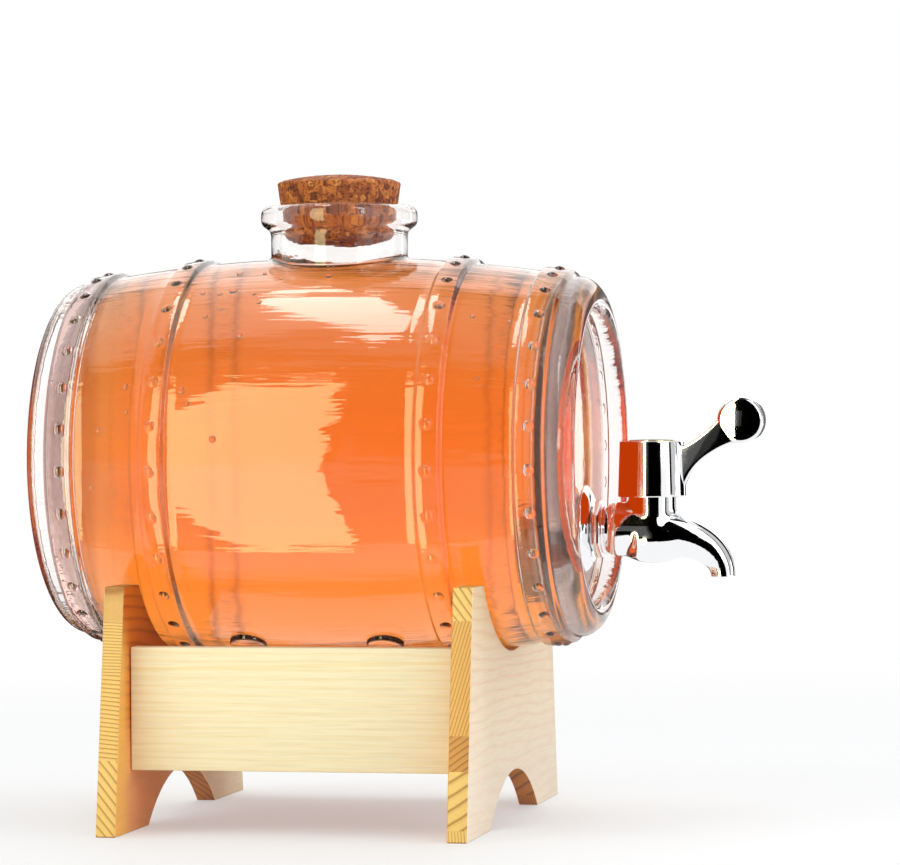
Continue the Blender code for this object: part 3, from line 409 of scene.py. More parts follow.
def pine_material(name, along, drift, face, inner, end, foot_tone, strips, vein=0.0):
    """Pine glued from strips, with soft rings on its faces and sharp ones on its sawn edges.

    The tones are (light, dark) ring pairs for outer faces, inner faces and sawn edges; the inner pair is painted
    shade, dark orange-brown as if lit through the drink. A strip is (start height, ring rates, tint). The foot tone
    pales the outer faces downwards, which on the boards leaves a painted warm light up top; vein is the height of a
    golden line.
    """
    made = new_material(name, roughness=0.55)
    tree, add, shader = nodes(made)
    coordinates = add("TexCoord")
    place = coordinates.outputs["Object"]
    parts = add("SeparateXYZ", Vector=place)
    facing = add("SeparateXYZ", Vector=coordinates.outputs["Normal"])
    strip_height = add("Math", {"operation": "MULTIPLY"}, i0=parts.outputs["Z"], i1=1 / RAMP_LENGTH)
    strip = add("ValToRGB", Fac=strip_height.outputs[0])
    strip.color_ramp.interpolation = "CONSTANT"
    ramp(strip, *((start / RAMP_LENGTH, tuple(rate / RATE_SPAN + 0.5 for rate in rates))
                  for start, rates, _ in strips))
    tint = add("ValToRGB", Fac=strip_height.outputs[0])
    tint.color_ramp.interpolation = "CONSTANT"
    ramp(tint, *((start / RAMP_LENGTH, shade) for start, _, shade in strips))
    rates = add("VectorMath", {"operation": "MULTIPLY_ADD"}, i0=strip.outputs[0], i1=(RATE_SPAN,) * 3,
                i2=(-RATE_SPAN / 2,) * 3)

    def rings(rate, wander, amount, stops):
        """Year rings: so many to the metre each way, bent by a noise."""
        count = add("VectorMath", {"operation": "DOT_PRODUCT"}, i0=place, i1=rate)
        bent = add("Math", {"operation": "MULTIPLY_ADD"}, i0=wander, i1=amount, i2=count.outputs["Value"])
        year = add("Math", {"operation": "FRACT"}, i0=bent.outputs[0])
        tone = add("ValToRGB", Fac=year.outputs[0])
        ramp(tone, *stops)
        return tone.outputs[0]

    def ring_stops(light, dark, peak):
        """One ring's colours, darkest at its peak."""
        middle = tuple((3 * a + b) / 4 for a, b in zip(light, dark))
        return ((0.0, light), (peak - 0.35, light), (peak - 0.12, middle), (peak, dark), (peak + 0.06, dark),
                (1.0, light))

    def fading(axis, start, end, most=1.0):
        """From 0 at one place along an axis to the most at another."""
        return add("MapRange", Value=parts.outputs[axis], i1=start, i2=end, i3=0.0, i4=most).outputs[0]

    def laid_over(amount, below, above):
        """One colour over another by an amount from 0 to 1."""
        return add("Mix", {"data_type": "RGBA"}, i0=amount, i6=below, i7=above).outputs[2]

    wander_map = add("Mapping", Vector=place, Scale=drift)
    wander = add("TexNoise", Vector=wander_map.outputs[0], Scale=1.0, Detail=2.0, Roughness=0.55).outputs[0]
    soft_rate, sway = {"X": ((0, 0, 330), 2.0), "Y": ((0, 8, 230), 3.2)}[along]
    outside = rings(soft_rate, wander, sway, ring_stops(*face, 0.70))
    # Painted shade: the inner faces get dark orange-brown rings, as if shaded and lit through the drink.
    inner_painted_shade = rings(soft_rate, wander, sway, ring_stops(*inner, 0.70))
    lines = rings(rates.outputs[0], wander, 0.8, ring_stops(*end, 0.80))
    sawn = add("Mix", MULTIPLY_COLOURS, i0=1.0, i6=lines, i7=tint.outputs[0]).outputs[2]
    from_middle = add("Math", {"operation": "SUBTRACT"}, i0=parts.outputs["X"], i1=barrel_x)
    outward = add("Math", {"operation": "MULTIPLY"}, i0=from_middle.outputs[0], i1=facing.outputs["X"])
    is_inner = add("Math", {"operation": "LESS_THAN"}, i0=outward.outputs[0], i1=INWARDS)
    across = add("Math", {"operation": "ABSOLUTE"}, i0=facing.outputs["X"])
    end_test = {"X": "GREATER_THAN", "Y": "LESS_THAN"}[along]
    is_end = add("Math", {"operation": end_test}, i0=across.outputs[0], i1=ENDWAYS)
    if along == "Y":
        # Painted light and shade: the inner faces pale at the foot, less on the near leg than on the far one.
        foot = laid_over(fading("Y", *FOOT_SIDES), NEAR_FOOT_PAINTED_SHADE, FAR_FOOT_PAINTED_LIGHT)
        inner_painted_shade = laid_over(fading("Z", *FOOT_FADE), inner_painted_shade, foot)
        # Painted light: a golden lit strip along the inner faces' front corner.
        corner = add("Math", {"operation": "MULTIPLY"}, i0=fading("Y", *CORNER_SIDES, 0.85),
                     i1=fading("Z", *CORNER_FADE))
        inner_painted_shade = laid_over(corner.outputs[0], inner_painted_shade, CORNER_PAINTED_LIGHT)
        # Painted shade on the faces that look down under the arch.
        is_arch = add("Math", {"operation": "LESS_THAN"}, i0=facing.outputs["Z"], i1=DOWNWARDS)
        arch = rings(rates.outputs[0], wander, 0.8, ring_stops(*ARCH_PAINTED_SHADES, 0.80))
        sawn = laid_over(is_arch.outputs[0], sawn, arch)
    else:
        level = add("VectorMath", {"operation": "DOT_PRODUCT"}, i0=place, i1=(-VEIN_SLOPE, 0, 1))
        apart = add("Math", {"operation": "MULTIPLY_ADD"}, i0=wander, i1=VEIN_WANDER, i2=level.outputs["Value"])
        on_vein = add("Math", {"operation": "COMPARE"}, i0=apart.outputs[0], i1=vein, i2=VEIN_HALF)
        share = add("Math", {"operation": "MULTIPLY"}, i0=on_vein.outputs[0], i1=VEIN_SHARE)
        outside = laid_over(share.outputs[0], outside, VEIN_TONE)
    # Painted light: the outer faces pale towards the foot tone lower down, which leaves a warm glow from the drink on
    # the boards' upper parts.
    face_with_painted_glow = laid_over(fading("Z", *PAINTED_GLOW_FADE, 0.6), outside, (*foot_tone, 1))
    # The inner faces take their painted shade.
    flat = laid_over(is_inner.outputs[0], face_with_painted_glow, inner_painted_shade)
    whole = laid_over(is_end.outputs[0], flat, sawn)
    fibre_map = add("Mapping", Vector=place, Scale={"X": (60, 1500, 1500), "Y": (1500, 60, 1500)}[along])
    fibre = add("TexNoise", Vector=fibre_map.outputs[0], Scale=1.0, Detail=2.0)
    streak = add("ValToRGB", Fac=fibre.outputs[0])
    ramp(streak, (0.3, (0.93, 0.91, 0.88)), (0.6, (1, 1, 1)))
    mix = add("Mix", MULTIPLY_COLOURS, i0=1.0, i6=whole, i7=streak.outputs[0])
    tree.links.new(mix.outputs[2], shader.inputs["Base Color"])
    bump = add("Bump", Height=fibre.outputs[0], Strength=0.25, Distance=0.0002)
    tree.links.new(bump.outputs[0], shader.inputs["Normal"])
    rough = add("MapRange", Value=fibre.outputs[0], i3=0.42, i4=0.62)
    tree.links.new(rough.outputs[0], shader.inputs["Roughness"])
    return made


def plain_material(name, colour, roughness, metallic=0.0, scale=400.0):
    """A small hidden part's finish, with a little unevenness."""
    made = new_material(name, roughness=roughness, metallic=metallic)
    tree, add, shader = nodes(made)
    place = add("TexCoord").outputs["Object"]
    cloud = add("TexNoise", Vector=place, Scale=scale, Detail=3.0)
    tone = add("ValToRGB", Fac=cloud.outputs[0])
    ramp(tone, (0.3, tuple(0.85 * channel for channel in colour)), (0.7, colour))
    tree.links.new(tone.outputs[0], shader.inputs["Base Color"])
    return made


# Glass barrel

def wall_radius(along):
    """The plain wall's outer radius at a distance from the barrel's middle."""
    swell = BARREL_MIDDLE_RADIUS - BARREL_END_RADIUS
    return BARREL_MIDDLE_RADIUS - swell * (along / RIM_START) ** 2


def hoop_profile(centre, width, steps=6):
    """(distance, radius) points over one raised hoop with rounded shoulders."""
    points = []
    for end in (-1, 1):
        for step in range(steps + 1):
            share = step / steps if end < 0 else 1 - step / steps
            along = centre + end * (width / 2 - share * HOOP_SHOULDER)
            rise = HOOP_RISE * (1 - cos(pi * share)) / 2
            points.append((along, wall_radius(along) + rise))
    return points


def barrel_half(spacing=0.004):
    """The front half of the outline: wall, hoops, rounded rim and sunk head."""
    points = [(0.0, wall_radius(0))]
    start = 0.0
    for centre, width in HOOPS:
        stop = centre - width / 2
        count = max(1, round((stop - start) / spacing))
        for step in range(1, count):
            along = start + (stop - start) * step / count
            points.append((along, wall_radius(along)))
        points += hoop_profile(centre, width)
        start = centre + width / 2
    ring = BARREL_END_RADIUS - RIM_OUTER_ROUND
    points += swapped(arc((ring, RIM_START), RIM_OUTER_ROUND, 0, 90, 12))
    points += swapped(arc((ring, BARREL_HALF - RIM_INNER_ROUND), RIM_INNER_ROUND, 90, 180, 8)[1:])
    inner = ring - RIM_INNER_ROUND
    points += swapped(arc((inner - HEAD_FILLET, HEAD_FACE + HEAD_FILLET), HEAD_FILLET, 0, -90, 5))
    for share in (0.75, 0.5, 0.25, 0):
        points.append((HEAD_FACE, inner * share))
    return points


def cavity_half(grow=0.0, spacing=0.005):
    """The front half of the hollow's outline, grown by a hair for the drink."""
    corner_start = HEAD_INSIDE - CAVITY_CORNER
    count = round(corner_start / spacing)
    points = []
    for step in range(count + 1):
        along = corner_start * step / count
        points.append((along, wall_radius(along) - GLASS_WALL + grow))
    corner = wall_radius(corner_start) - GLASS_WALL - CAVITY_CORNER
    points += swapped(arc((corner, corner_start), CAVITY_CORNER + grow, 0, 90, 8)[1:])
    for share in (0.66, 0.33, 0):
        points.append((HEAD_INSIDE + grow, corner * share))
    return points


def rivet_domes(offset):
    """One low dome on a hoop's crest, copied round the hoop."""
    crest = wall_radius(abs(offset)) + HOOP_RISE
    ball = (RIVET_RADIUS ** 2 + RIVET_RISE ** 2) / (2 * RIVET_RISE)
    domes = begin("rivet_domes", bpy.ops.mesh.primitive_uv_sphere_add, segments=16, ring_count=20, radius=ball)
    bpy.ops.mesh.bisect(plane_co=(0, 0, ball - RIVET_RISE - RIVET_SUNK), plane_no=(0, 0, 1), clear_inner=True,
                        use_fill=True)
    bpy.ops.mesh.select_all(action="SELECT")
    bpy.ops.transform.translate(value=(barrel_x + offset, 0, axis_z + crest + RIVET_RISE - ball))
    bpy.ops.transform.rotate(value=-RIVET_TURN, orient_axis="X", center_override=AXIS)
    bpy.ops.mesh.spin(steps=RIVETS_PER_HOOP - 1, dupli=True, center=AXIS, axis=(1, 0, 0),
                      angle=tau * (RIVETS_PER_HOOP - 1) / RIVETS_PER_HOOP)
    close_shell()
    return domes


def surface_height(x, y):
    """Height of the plain wall above the floor at a place on top of the barrel."""
    return axis_z + sqrt(wall_radius(x - barrel_x) ** 2 - y * y)


def neck_piece(segments=96):
    """Neck and lip, flared where the neck meets the wall."""
    place = (barrel_x + NECK_OFFSET, 0, axis_z)
    top = NECK_TOP
    flare = [(NECK_RADIUS + NECK_FLARE * (1 - sin(radians(angle))), NECK_FLARE * (1 - cos(radians(angle))))
             for angle in (4, 18, 36, 54, 72, 90)]
    foot = [(NECK_RADIUS + NECK_FLARE, -GLASS_WALL / 2), (NECK_RADIUS + NECK_FLARE, -0.00005)] + flare
    under = top - LIP_HEIGHT
    lip = [(NECK_RADIUS + out, under - down) for out, down in UNDER_LIP]
    lip += arc((LIP_RADIUS - LIP_ROUND, under + LIP_ROUND - 0.0004), LIP_ROUND, -62, 0, 7)
    lip += arc((LIP_RADIUS - LIP_ROUND, top - LIP_ROUND), LIP_ROUND, 0, 90, 9)
    floor = surface_height(place[0], 0) - axis_z
    profile = [(0, floor - GLASS_WALL / 2)] + [(radius, floor + height) for radius, height in foot]
    profile += lip + [(0, top)]
    neck = turn_z("glass_neck", profile, segments, place)
    edit(neck)
    mesh = bmesh.from_edit_mesh(neck.data)
    limit = axis_z + floor + NECK_FLARE + WELD
    for vert in mesh.verts:
        if vert.co.z < limit and (vert.co.xy - Vector(place[:2])).length > NECK_RADIUS - WELD:
            vert.co.z += surface_height(vert.co.x, vert.co.y) - (axis_z + floor)
        elif vert.co.z < limit:
            vert.co.z -= NECK_RADIUS ** 2 / BARREL_MIDDLE_RADIUS / 2
    bmesh.update_edit_mesh(neck.data)
    close_shell()
    return neck


def wall_pad(along, tilt):
    """A low round pad under the wall."""
    place = (barrel_x + along, 0, axis_z)
    root, face = GLASS_WALL / 2 - wall_radius(along), -wall_radius(along) - PAD_RISE
    profile = [(0, face), (PAD_RADIUS * 0.6, face)]
    profile += arc((PAD_RADIUS - PAD_ROUND, face + PAD_ROUND), PAD_ROUND, -90, 0, 4)
    pad = turn_z("glass_pad", profile + [(PAD_RADIUS, root), (0, root)], 40, place)
    edit(pad)
    bpy.ops.transform.rotate(value=tilt, orient_axis="X", center_override=AXIS)
    bpy.ops.object.mode_set(mode="OBJECT")
    return pad


def glass_barrel(material):
    """Barrel, neck, pads and rivets in one moulding, hollowed and bored."""
    body = turn_x("glass_barrel_moulding", mirrored(barrel_half()), 168)
    combine(body, neck_piece(), "UNION")
    for along in (-PAD_OFFSET, PAD_OFFSET):
        for tilt in (-PAD_TILT, PAD_TILT):
            combine(body, wall_pad(along, tilt), "UNION")
    for centre, _ in HOOPS:
        for end in (-1, 1):
            combine(body, rivet_domes(end * centre), "UNION")
    combine(body, turn_x("cavity", mirrored(cavity_half()), 160), "DIFFERENCE")
    bore = [(0, 0), (NECK_BORE, 0)]
    bore += [(NECK_BORE + MOUTH_ROUND - radius, height)
             for radius, height in arc((0, NECK_TOP - MOUTH_ROUND), MOUTH_ROUND, 0, 90, 5)]
    bore += [(NECK_BORE + MOUTH_ROUND, NECK_TOP + OVERRUN), (0, NECK_TOP + OVERRUN)]
    combine(body, turn_z("bore", bore, 90, (barrel_x + NECK_OFFSET, 0, axis_z)), "DIFFERENCE")
    hole = [(HEAD_INSIDE - OVERRUN, 0), (HEAD_INSIDE - OVERRUN, TAP_HOLE_RADIUS),
            (HEAD_FACE + OVERRUN, TAP_HOLE_RADIUS), (HEAD_FACE + OVERRUN, 0)]
    combine(body, turn_x("tap_hole", hole, 48, (barrel_x, 0, tap_z)), "DIFFERENCE")
    finish_in(body, material, 32)
    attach(body, "barrel")
    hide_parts("glass_barrel")


def drink(material):
    """The drink fills the hollow and the neck up to its level and overlaps the glass by a hair."""
    body = turn_x("orange_drink", mirrored(cavity_half(DRINK_OVERLAP)), 160)
    level, radius = drink_level - axis_z, NECK_BORE + DRINK_OVERLAP
    column = [(0, level - 0.008), (radius, level - 0.008), (radius, level), (0, level)]
    combine(body, turn_z("neck_column", column, 90, (barrel_x + NECK_OFFSET, 0, axis_z)), "UNION")
    finish_in(body, material, 40)
    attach(body, "barrel")


# Drops on the glass: (distance along the barrel in mm, height round it in degrees, radius in mm)

DROPS = ((-29, 67, 0.6), (-19, 66, 0.4), (-11.5, 62, 0.4), (6.5, 63, 0.6), (-28, 56, 0.8), (-33, 55, 0.5),
         (-40, 56, 0.5), (-19.5, 54, 0.4), (-31, 48, 0.5), (-36, 45, 0.5), (-62.5, 22, 0.6), (-40.5, 20, 0.7),
         (-38, 16, 0.5), (-27.5, 6, 0.7), (-72, 9, 0.5), (-75, -8, 0.4), (-21, 37, 0.6), (-16.5, 50, 0.5),
         (-61.5, 14, 0.4), (64, 46, 0.5), (68.5, 24, 0.4), (77.5, 45, 0.5))
DROP_BALL = 0.001


def pick_first_ball(beads):
    """Select the ball that still lies at the origin."""
    bpy.ops.mesh.select_all(action="DESELECT")
    mesh = bmesh.from_edit_mesh(beads.data)
    for vert in mesh.verts:
        vert.select = vert.co.length < 1.1 * DROP_BALL
    mesh.select_flush(True)
    bmesh.update_edit_mesh(beads.data)


def drops(material):
    """A few round drops on the near side of the wall: one ball, copied, sized and moved."""
    beads = begin("water_drops", bpy.ops.mesh.primitive_uv_sphere_add, segments=12, ring_count=8, radius=DROP_BALL)
    for along, height, radius in DROPS:
        pick_first_ball(beads)
        bpy.ops.mesh.duplicate()
        bpy.ops.transform.resize(value=(2.0 * radius, 2.0 * radius, 1.5 * radius), center_override=(0, 0, 0))
        bpy.ops.transform.translate(value=(barrel_x + along / 1000, 0, axis_z + wall_radius(along / 1000)))
        rotate_by(pi / 2 - radians(height), "X", AXIS)
    pick_first_ball(beads)
    bpy.ops.mesh.delete(type="VERT")
    close_shell()
    finish_in(beads, material, 60)
    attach(beads, "barrel")


# Cork

CORK_FOOT_DOME = 0.0032
CORK_RISE = 0.0092
CORK_TAPER = 0.137
CORK_CROWN = 0.0028
CORK_EDGE = 0.0010


def cork_stopper(material):
    """A tapered plug with a domed foot, a crowned top and a pitted skin."""
    place = (barrel_x + NECK_OFFSET, 0, glass_high.z)
    foot_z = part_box("cork_stopper")[0].z - place[2] - CORK_FOOT_DOME / 2
    seat = NECK_BORE - FIT_GAP
    top, foot = seat + CORK_RISE * CORK_TAPER, seat + foot_z * CORK_TAPER
    profile = [(foot * share, foot_z + CORK_FOOT_DOME * share ** 2.6)
               for share in (0, 0.25, 0.45, 0.6, 0.72, 0.82, 0.9)]
    profile += [(foot * 0.97, foot_z + CORK_FOOT_DOME * 0.97)]
    steps = 26
    for step in range(1, steps):
        height = foot_z + CORK_FOOT_DOME + 0.0004 + (CORK_RISE - 0.0012 - foot_z - CORK_FOOT_DOME) * step / steps
        profile.append((foot + (height - foot_z) * CORK_TAPER, height))
    profile += arc((top - CORK_EDGE, CORK_RISE - CORK_EDGE), 0.0009, 0, 70, 4)
    crown_radius = (top ** 2 + CORK_CROWN ** 2) / (2 * CORK_CROWN)
    for step in range(1, 15):
        radius = (top - CORK_EDGE) * (1 - step / 14)
        profile.append((radius, CORK_RISE + CORK_CROWN - crown_radius + sqrt(crown_radius ** 2 - radius ** 2)))
    cork = turn_z("cork", profile, 140, place)
    pits = bpy.data.textures.new("cork_pits", "CLOUDS")
    pits.noise_scale = 0.0016
    pits.noise_depth = 3
    cork.vertex_groups.new(name="skin").add(range(len(cork.data.vertices)), 1.0, "REPLACE")
    apply_modifier(cork, "DISPLACE", texture=pits, strength=0.00032, mid_level=0.85, vertex_group="skin")
    finish_in(cork, material, 60)
    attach(cork, "stopper")
    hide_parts("cork_stopper")


# Stand

BOARD_TOP_HALF = 0.0752
CRADLE_FLOOR = 0.0632
ARCH_HALF = 0.046
ARCH_HEIGHT = 0.018
EDGE_ROUND = 0.0006


def end_board(name, node, material):
    """A board with sloping sides, a round cradle above and an arch below."""
    low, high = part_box(node)
    foot, top = high.y, BOARD_TOP_HALF
    height, thickness = high.z, high.x - low.x
    arch_radius = (ARCH_HALF ** 2 + ARCH_HEIGHT ** 2) / (2 * ARCH_HEIGHT)
    arch_angle = asin(ARCH_HALF / arch_radius) * 180 / pi
    outline = [(-foot, 0)]
    outline += arc((0, ARCH_HEIGHT - arch_radius), arch_radius, 90 + arch_angle, 90 - arch_angle, 36)
    outline += [(foot, 0), (top, height)]
    cradle = axis_z - CRADLE_FLOOR
    cradle_angle = acos((axis_z - height) / cradle) * 180 / pi
    outline += arc((0, axis_z), cradle, cradle_angle - 90, -cradle_angle - 90, 64)
    outline += [(-top, height)]
    points = [(low.x, across, up) for across, up in outline]
    board = trace(name, points + points[:1], closed=True)
    bpy.ops.mesh.select_all(action="SELECT")
    bpy.ops.mesh.extrude_region_move(TRANSFORM_OT_translate={"value": (thickness, 0, 0)})
    close_shell()
    soften(board, EDGE_ROUND)
    finish_in(board, material, 35)
    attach(board, "stand")
    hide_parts(node)


def stretcher(name, node, material):
    """A straight rail between the boards."""
    low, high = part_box(node)
    rail = begin(name, bpy.ops.mesh.primitive_cube_add, size=1)
    bpy.ops.transform.resize(value=high - low)
    bpy.ops.transform.translate(value=(low + high) / 2)
    bpy.ops.object.mode_set(mode="OBJECT")
    soften(rail, EDGE_ROUND)
    finish_in(rail, material, 35)
    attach(rail, "stand")
    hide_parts(node)


# Tap

TAP_REACH = 0.0276
OUTER_WASHER = 0.0012
ESCUTCHEON_RADIUS = 0.01645
ESCUTCHEON_THICKNESS = 0.0035
GRIP_RADIUS = 0.0108
GRIP_THICKNESS = 0.0030
GRIP_EDGE = 0.0004
BEAD_RADIUS = 0.0085
BEAD_THICKNESS = 0.0016
INNER_WASHER = 0.002
NUT_FLANGE = 0.0014
NUT_THICKNESS = 0.0055
SHANK_TAIL = 0.0035
SHANK_RADIUS = 0.008
SHANK_BORE = 0.0045
ARM_RADIUS = 0.0101
ARM_FOOT_RADIUS = 0.0088
BELLY_PLACE = (0.0004, 0, -0.0028)
BELLY_HALVES = (0.0150, 0.0103, 0.0098)
VALVE_NECK_RADIUS = 0.009
VALVE_NECK_TOP = 0.0222
CHAMBER_RADIUS = 0.0065
CHAMBER_DEPTH = 0.0055
SPOUT_REACH = 0.0265
SPOUT_DROP = 0.0175
SPOUT_ROOT = 0.0102
SPOUT_SAG = 0.0020
SPOUT_TIP = 0.0045
SPOUT_BORE = 0.0033
COLLAR_LIFT = 0.0121
COLLAR_TOP = 0.0328
COLLAR_FOOT_RADIUS = 0.0128
COLLAR_TOP_RADIUS = 0.0121
COLLAR_EDGE = 0.0005
COLLAR_HOLLOW = 0.0093
COLLAR_HOLLOW_HEIGHT = 0.0107
CAP_RECESS = 0.0009
CAP_RECESS_RADIUS = 0.00905
KNOB_RADIUS = 0.0087
KNOB_FLAT_RADIUS = 0.005
KNOB_PLACE = (0.0337, 0, 0.0404)
KNOB_FACE_ROUND = 0.030
KNOB_EDGE_ROUND = 0.0018
LEVER_START = (0.0085, 0, 0.0234)
LEVER_ROOT = 0.0080
LEVER_WAIST = 0.0040
LEVER_TIP = 0.0054
LEVER_HALF = 0.0038

tap_x = barrel_x + HEAD_FACE + TAP_REACH
VALVE = Vector((tap_x, 0, tap_z))
KNOB_SEAT = sqrt(KNOB_RADIUS ** 2 - KNOB_FLAT_RADIUS ** 2)


def rotate_by(angle, axis, centre):
    """Turn the selection by the right-hand rule; with no window the operator turns the other way."""
    bpy.ops.transform.rotate(value=-angle, orient_axis=axis, center_override=centre)


def sweep(name, stations, segments):
    """Pull a round face through (distance, drop, turn, radius) stations below +X."""
    along, drop, tilt, radius = stations[0]
    piece = begin(name, bpy.ops.mesh.primitive_circle_add, vertices=segments, radius=radius, fill_type="NGON")
    rotate_by(pi / 2 + tilt, "Y", (0, 0, 0))
    here = VALVE + Vector((along, 0, -drop))
    bpy.ops.transform.translate(value=here)
    for along, drop, turned, size in stations[1:]:
        there = VALVE + Vector((along, 0, -drop))
        bpy.ops.mesh.extrude_region_move(TRANSFORM_OT_translate={"value": there - here})
        if abs(turned - tilt) > 1e-6:
            rotate_by(turned - tilt, "Y", there)
        grown = size / radius
        bpy.ops.transform.resize(value=(grown, grown, grown), center_override=there)
        here, tilt, radius = there, turned, size
    close_shell()
    return piece


def spout_stations(root, tip, steps, past=0.0):
    """Stations down a quarter ellipse from the valve to the spout's mouth, and a little past it."""
    sag = SPOUT_SAG if root > tip else 0
    stations = [(-root / 2, sag, 0, root)]
    for step in range(steps + 1):
        angle = pi / 2 * step / steps
        left = 1 - step / steps
        tilt = atan2(SPOUT_DROP * sin(angle), SPOUT_REACH * cos(angle))
        stations.append((SPOUT_REACH * sin(angle), SPOUT_DROP * (1 - cos(angle)) + sag * left ** 2, tilt,
                         tip + (root - tip) * left ** 1.5))
    if past:
        stations.append((SPOUT_REACH, SPOUT_DROP + past, pi / 2, tip))
    return stations


def hexagon(name, start, end, radius, place):
    """A six-sided nut with softened corners."""
    profile = [(start, 0), (start, radius), (end, radius), (end, 0)]
    piece = turn_x(name, profile, 6, place)
    soften(piece, GRIP_EDGE)
    return piece


def tap_casting(material):
    """Arm, belly, valve neck and spout cast in one, then blended; the turned shank is added crisp."""
    bead_end = (FIT_GAP - TAP_REACH + OUTER_WASHER + FIT_GAP + ESCUTCHEON_THICKNESS + FIT_GAP + GRIP_THICKNESS
                + BEAD_THICKNESS)
    arm = [(bead_end - 0.0004, 0), (bead_end - 0.0004, ARM_FOOT_RADIUS), (bead_end + 0.0006, ARM_FOOT_RADIUS),
           (bead_end + 0.0017, 0.0095), (bead_end + 0.0032, ARM_RADIUS), (bead_end + 0.0070, ARM_RADIUS)]
    arm += arc((0, 0), ARM_RADIUS, 90, 0, 10)
    casting = turn_x("tap_casting", arm, 96, VALVE)
    deselect()
    bpy.ops.mesh.primitive_uv_sphere_add(segments=96, ring_count=48, radius=1, location=VALVE + Vector(BELLY_PLACE))
    belly = bpy.context.object
    belly.scale = BELLY_HALVES
    bpy.ops.object.transform_apply(location=True, rotation=True, scale=True)
    combine(casting, belly, "UNION", "EXACT")
    neck = [(0, -0.002), (VALVE_NECK_RADIUS, -0.002), (VALVE_NECK_RADIUS, 0.0225), (0, 0.0225)]
    combine(casting, turn_z("valve_neck", neck, 96, VALVE), "UNION", "EXACT")
    combine(casting, sweep("spout", spout_stations(SPOUT_ROOT, SPOUT_TIP, 28, 0.0012), 72), "UNION", "EXACT")
    apply_modifier(casting, "REMESH", mode="VOXEL", voxel_size=0.00036)
    apply_modifier(casting, "SMOOTH", factor=0.5, iterations=48)
    edit(casting)
    for height, up in ((-SPOUT_DROP, -1), (VALVE_NECK_TOP, 1)):
        bpy.ops.mesh.select_all(action="SELECT")
        bpy.ops.mesh.bisect(plane_co=(0, 0, tap_z + height), plane_no=(0, 0, up), clear_outer=True, use_fill=True)
    close_shell()
    chamber = [(0, -CHAMBER_DEPTH), (CHAMBER_RADIUS, -CHAMBER_DEPTH), (CHAMBER_RADIUS, 0.0245), (0, 0.0245)]
    combine(casting, turn_z("chamber", chamber, 64, VALVE), "DIFFERENCE", "EXACT")
    spout_bore = sweep("spout_bore", spout_stations(SPOUT_BORE, SPOUT_BORE, 20, OVERRUN), 40)
    combine(casting, spout_bore, "DIFFERENCE", "EXACT")
    shank_end = (-TAP_REACH - HEAD_THICKNESS - FIT_GAP - INNER_WASHER - FIT_GAP - NUT_FLANGE - NUT_THICKNESS
                 - SHANK_TAIL)
    half = BEAD_THICKNESS / 2
    middle = bead_end - half
    shank = [(shank_end, 0), (shank_end, SHANK_RADIUS - 0.0005), (shank_end + 0.0005, SHANK_RADIUS),
             (middle - half, SHANK_RADIUS), (middle - half, BEAD_RADIUS)]
    shank += [(middle + half * sin(radians(angle)), BEAD_RADIUS + half * cos(radians(angle)))
              for angle in (-70, -50, -30, -10, 10, 30, 50, 70)]
    shank += [(middle + half, BEAD_RADIUS), (middle + 0.0012, 0.0084), (middle + 0.0012, 0)]
    post = turn_x("shank", shank, 72, VALVE)
    grip_start = middle - half - GRIP_THICKNESS
    combine(post, hexagon("grip", grip_start, middle - 0.0006, GRIP_RADIUS, VALVE), "UNION", "EXACT")
    combine(casting, post, "UNION", "EXACT")
    bore = [(shank_end - OVERRUN, 0), (shank_end - OVERRUN, SHANK_BORE), (0, SHANK_BORE), (0, 0)]
    combine(casting, turn_x("shank_bore", bore, 48, VALVE), "DIFFERENCE", "EXACT")
    finish_in(casting, material, 30)
    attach(casting, "barrel")
    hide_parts("tap_body")


def escutcheon(material):
    """A disc with a low rounded rim and a domed face."""
    low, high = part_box("escutcheon")
    back, front = low.x - VALVE.x, high.x - VALVE.x
    hole, outer, face, rim = TAP_HOLE_RADIUS, ESCUTCHEON_RADIUS, 0.0112, 0.0013
    profile = [(back, hole), (back, outer - 0.0004), (back + 0.0002, outer - 0.0001), (back + 0.0004, outer),
               (back + 0.0010, outer), (back + rim, outer - 0.0002)]
    for step in range(1, 8):
        share = step / 8
        profile.append((back + rim + (front - back - rim) * sin(share * pi / 2),
                        outer - 0.0002 - (outer - face) * share))
    profile += [(front, face), (front, hole), (back, hole)]
    piece = turn_x("escutcheon_plate", profile, 96, VALVE)
    finish_in(piece, material, 35)
    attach(piece, "barrel")
    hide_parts("escutcheon")


def lever_profile(length):
    """(share, radius) along the lever: thick root, slim waist, flared tip."""
    waist = 0.56
    rows = []
    for step in range(25):
        share = step / 24
        if share < waist:
            radius = LEVER_WAIST + (LEVER_ROOT - LEVER_WAIST) * (1 - share / waist) ** 2.2
        else:
            radius = LEVER_WAIST + (LEVER_TIP - LEVER_WAIST) * ((share - waist) / (1 - waist)) ** 2.2
        rows.append((share * length, radius))
    return rows


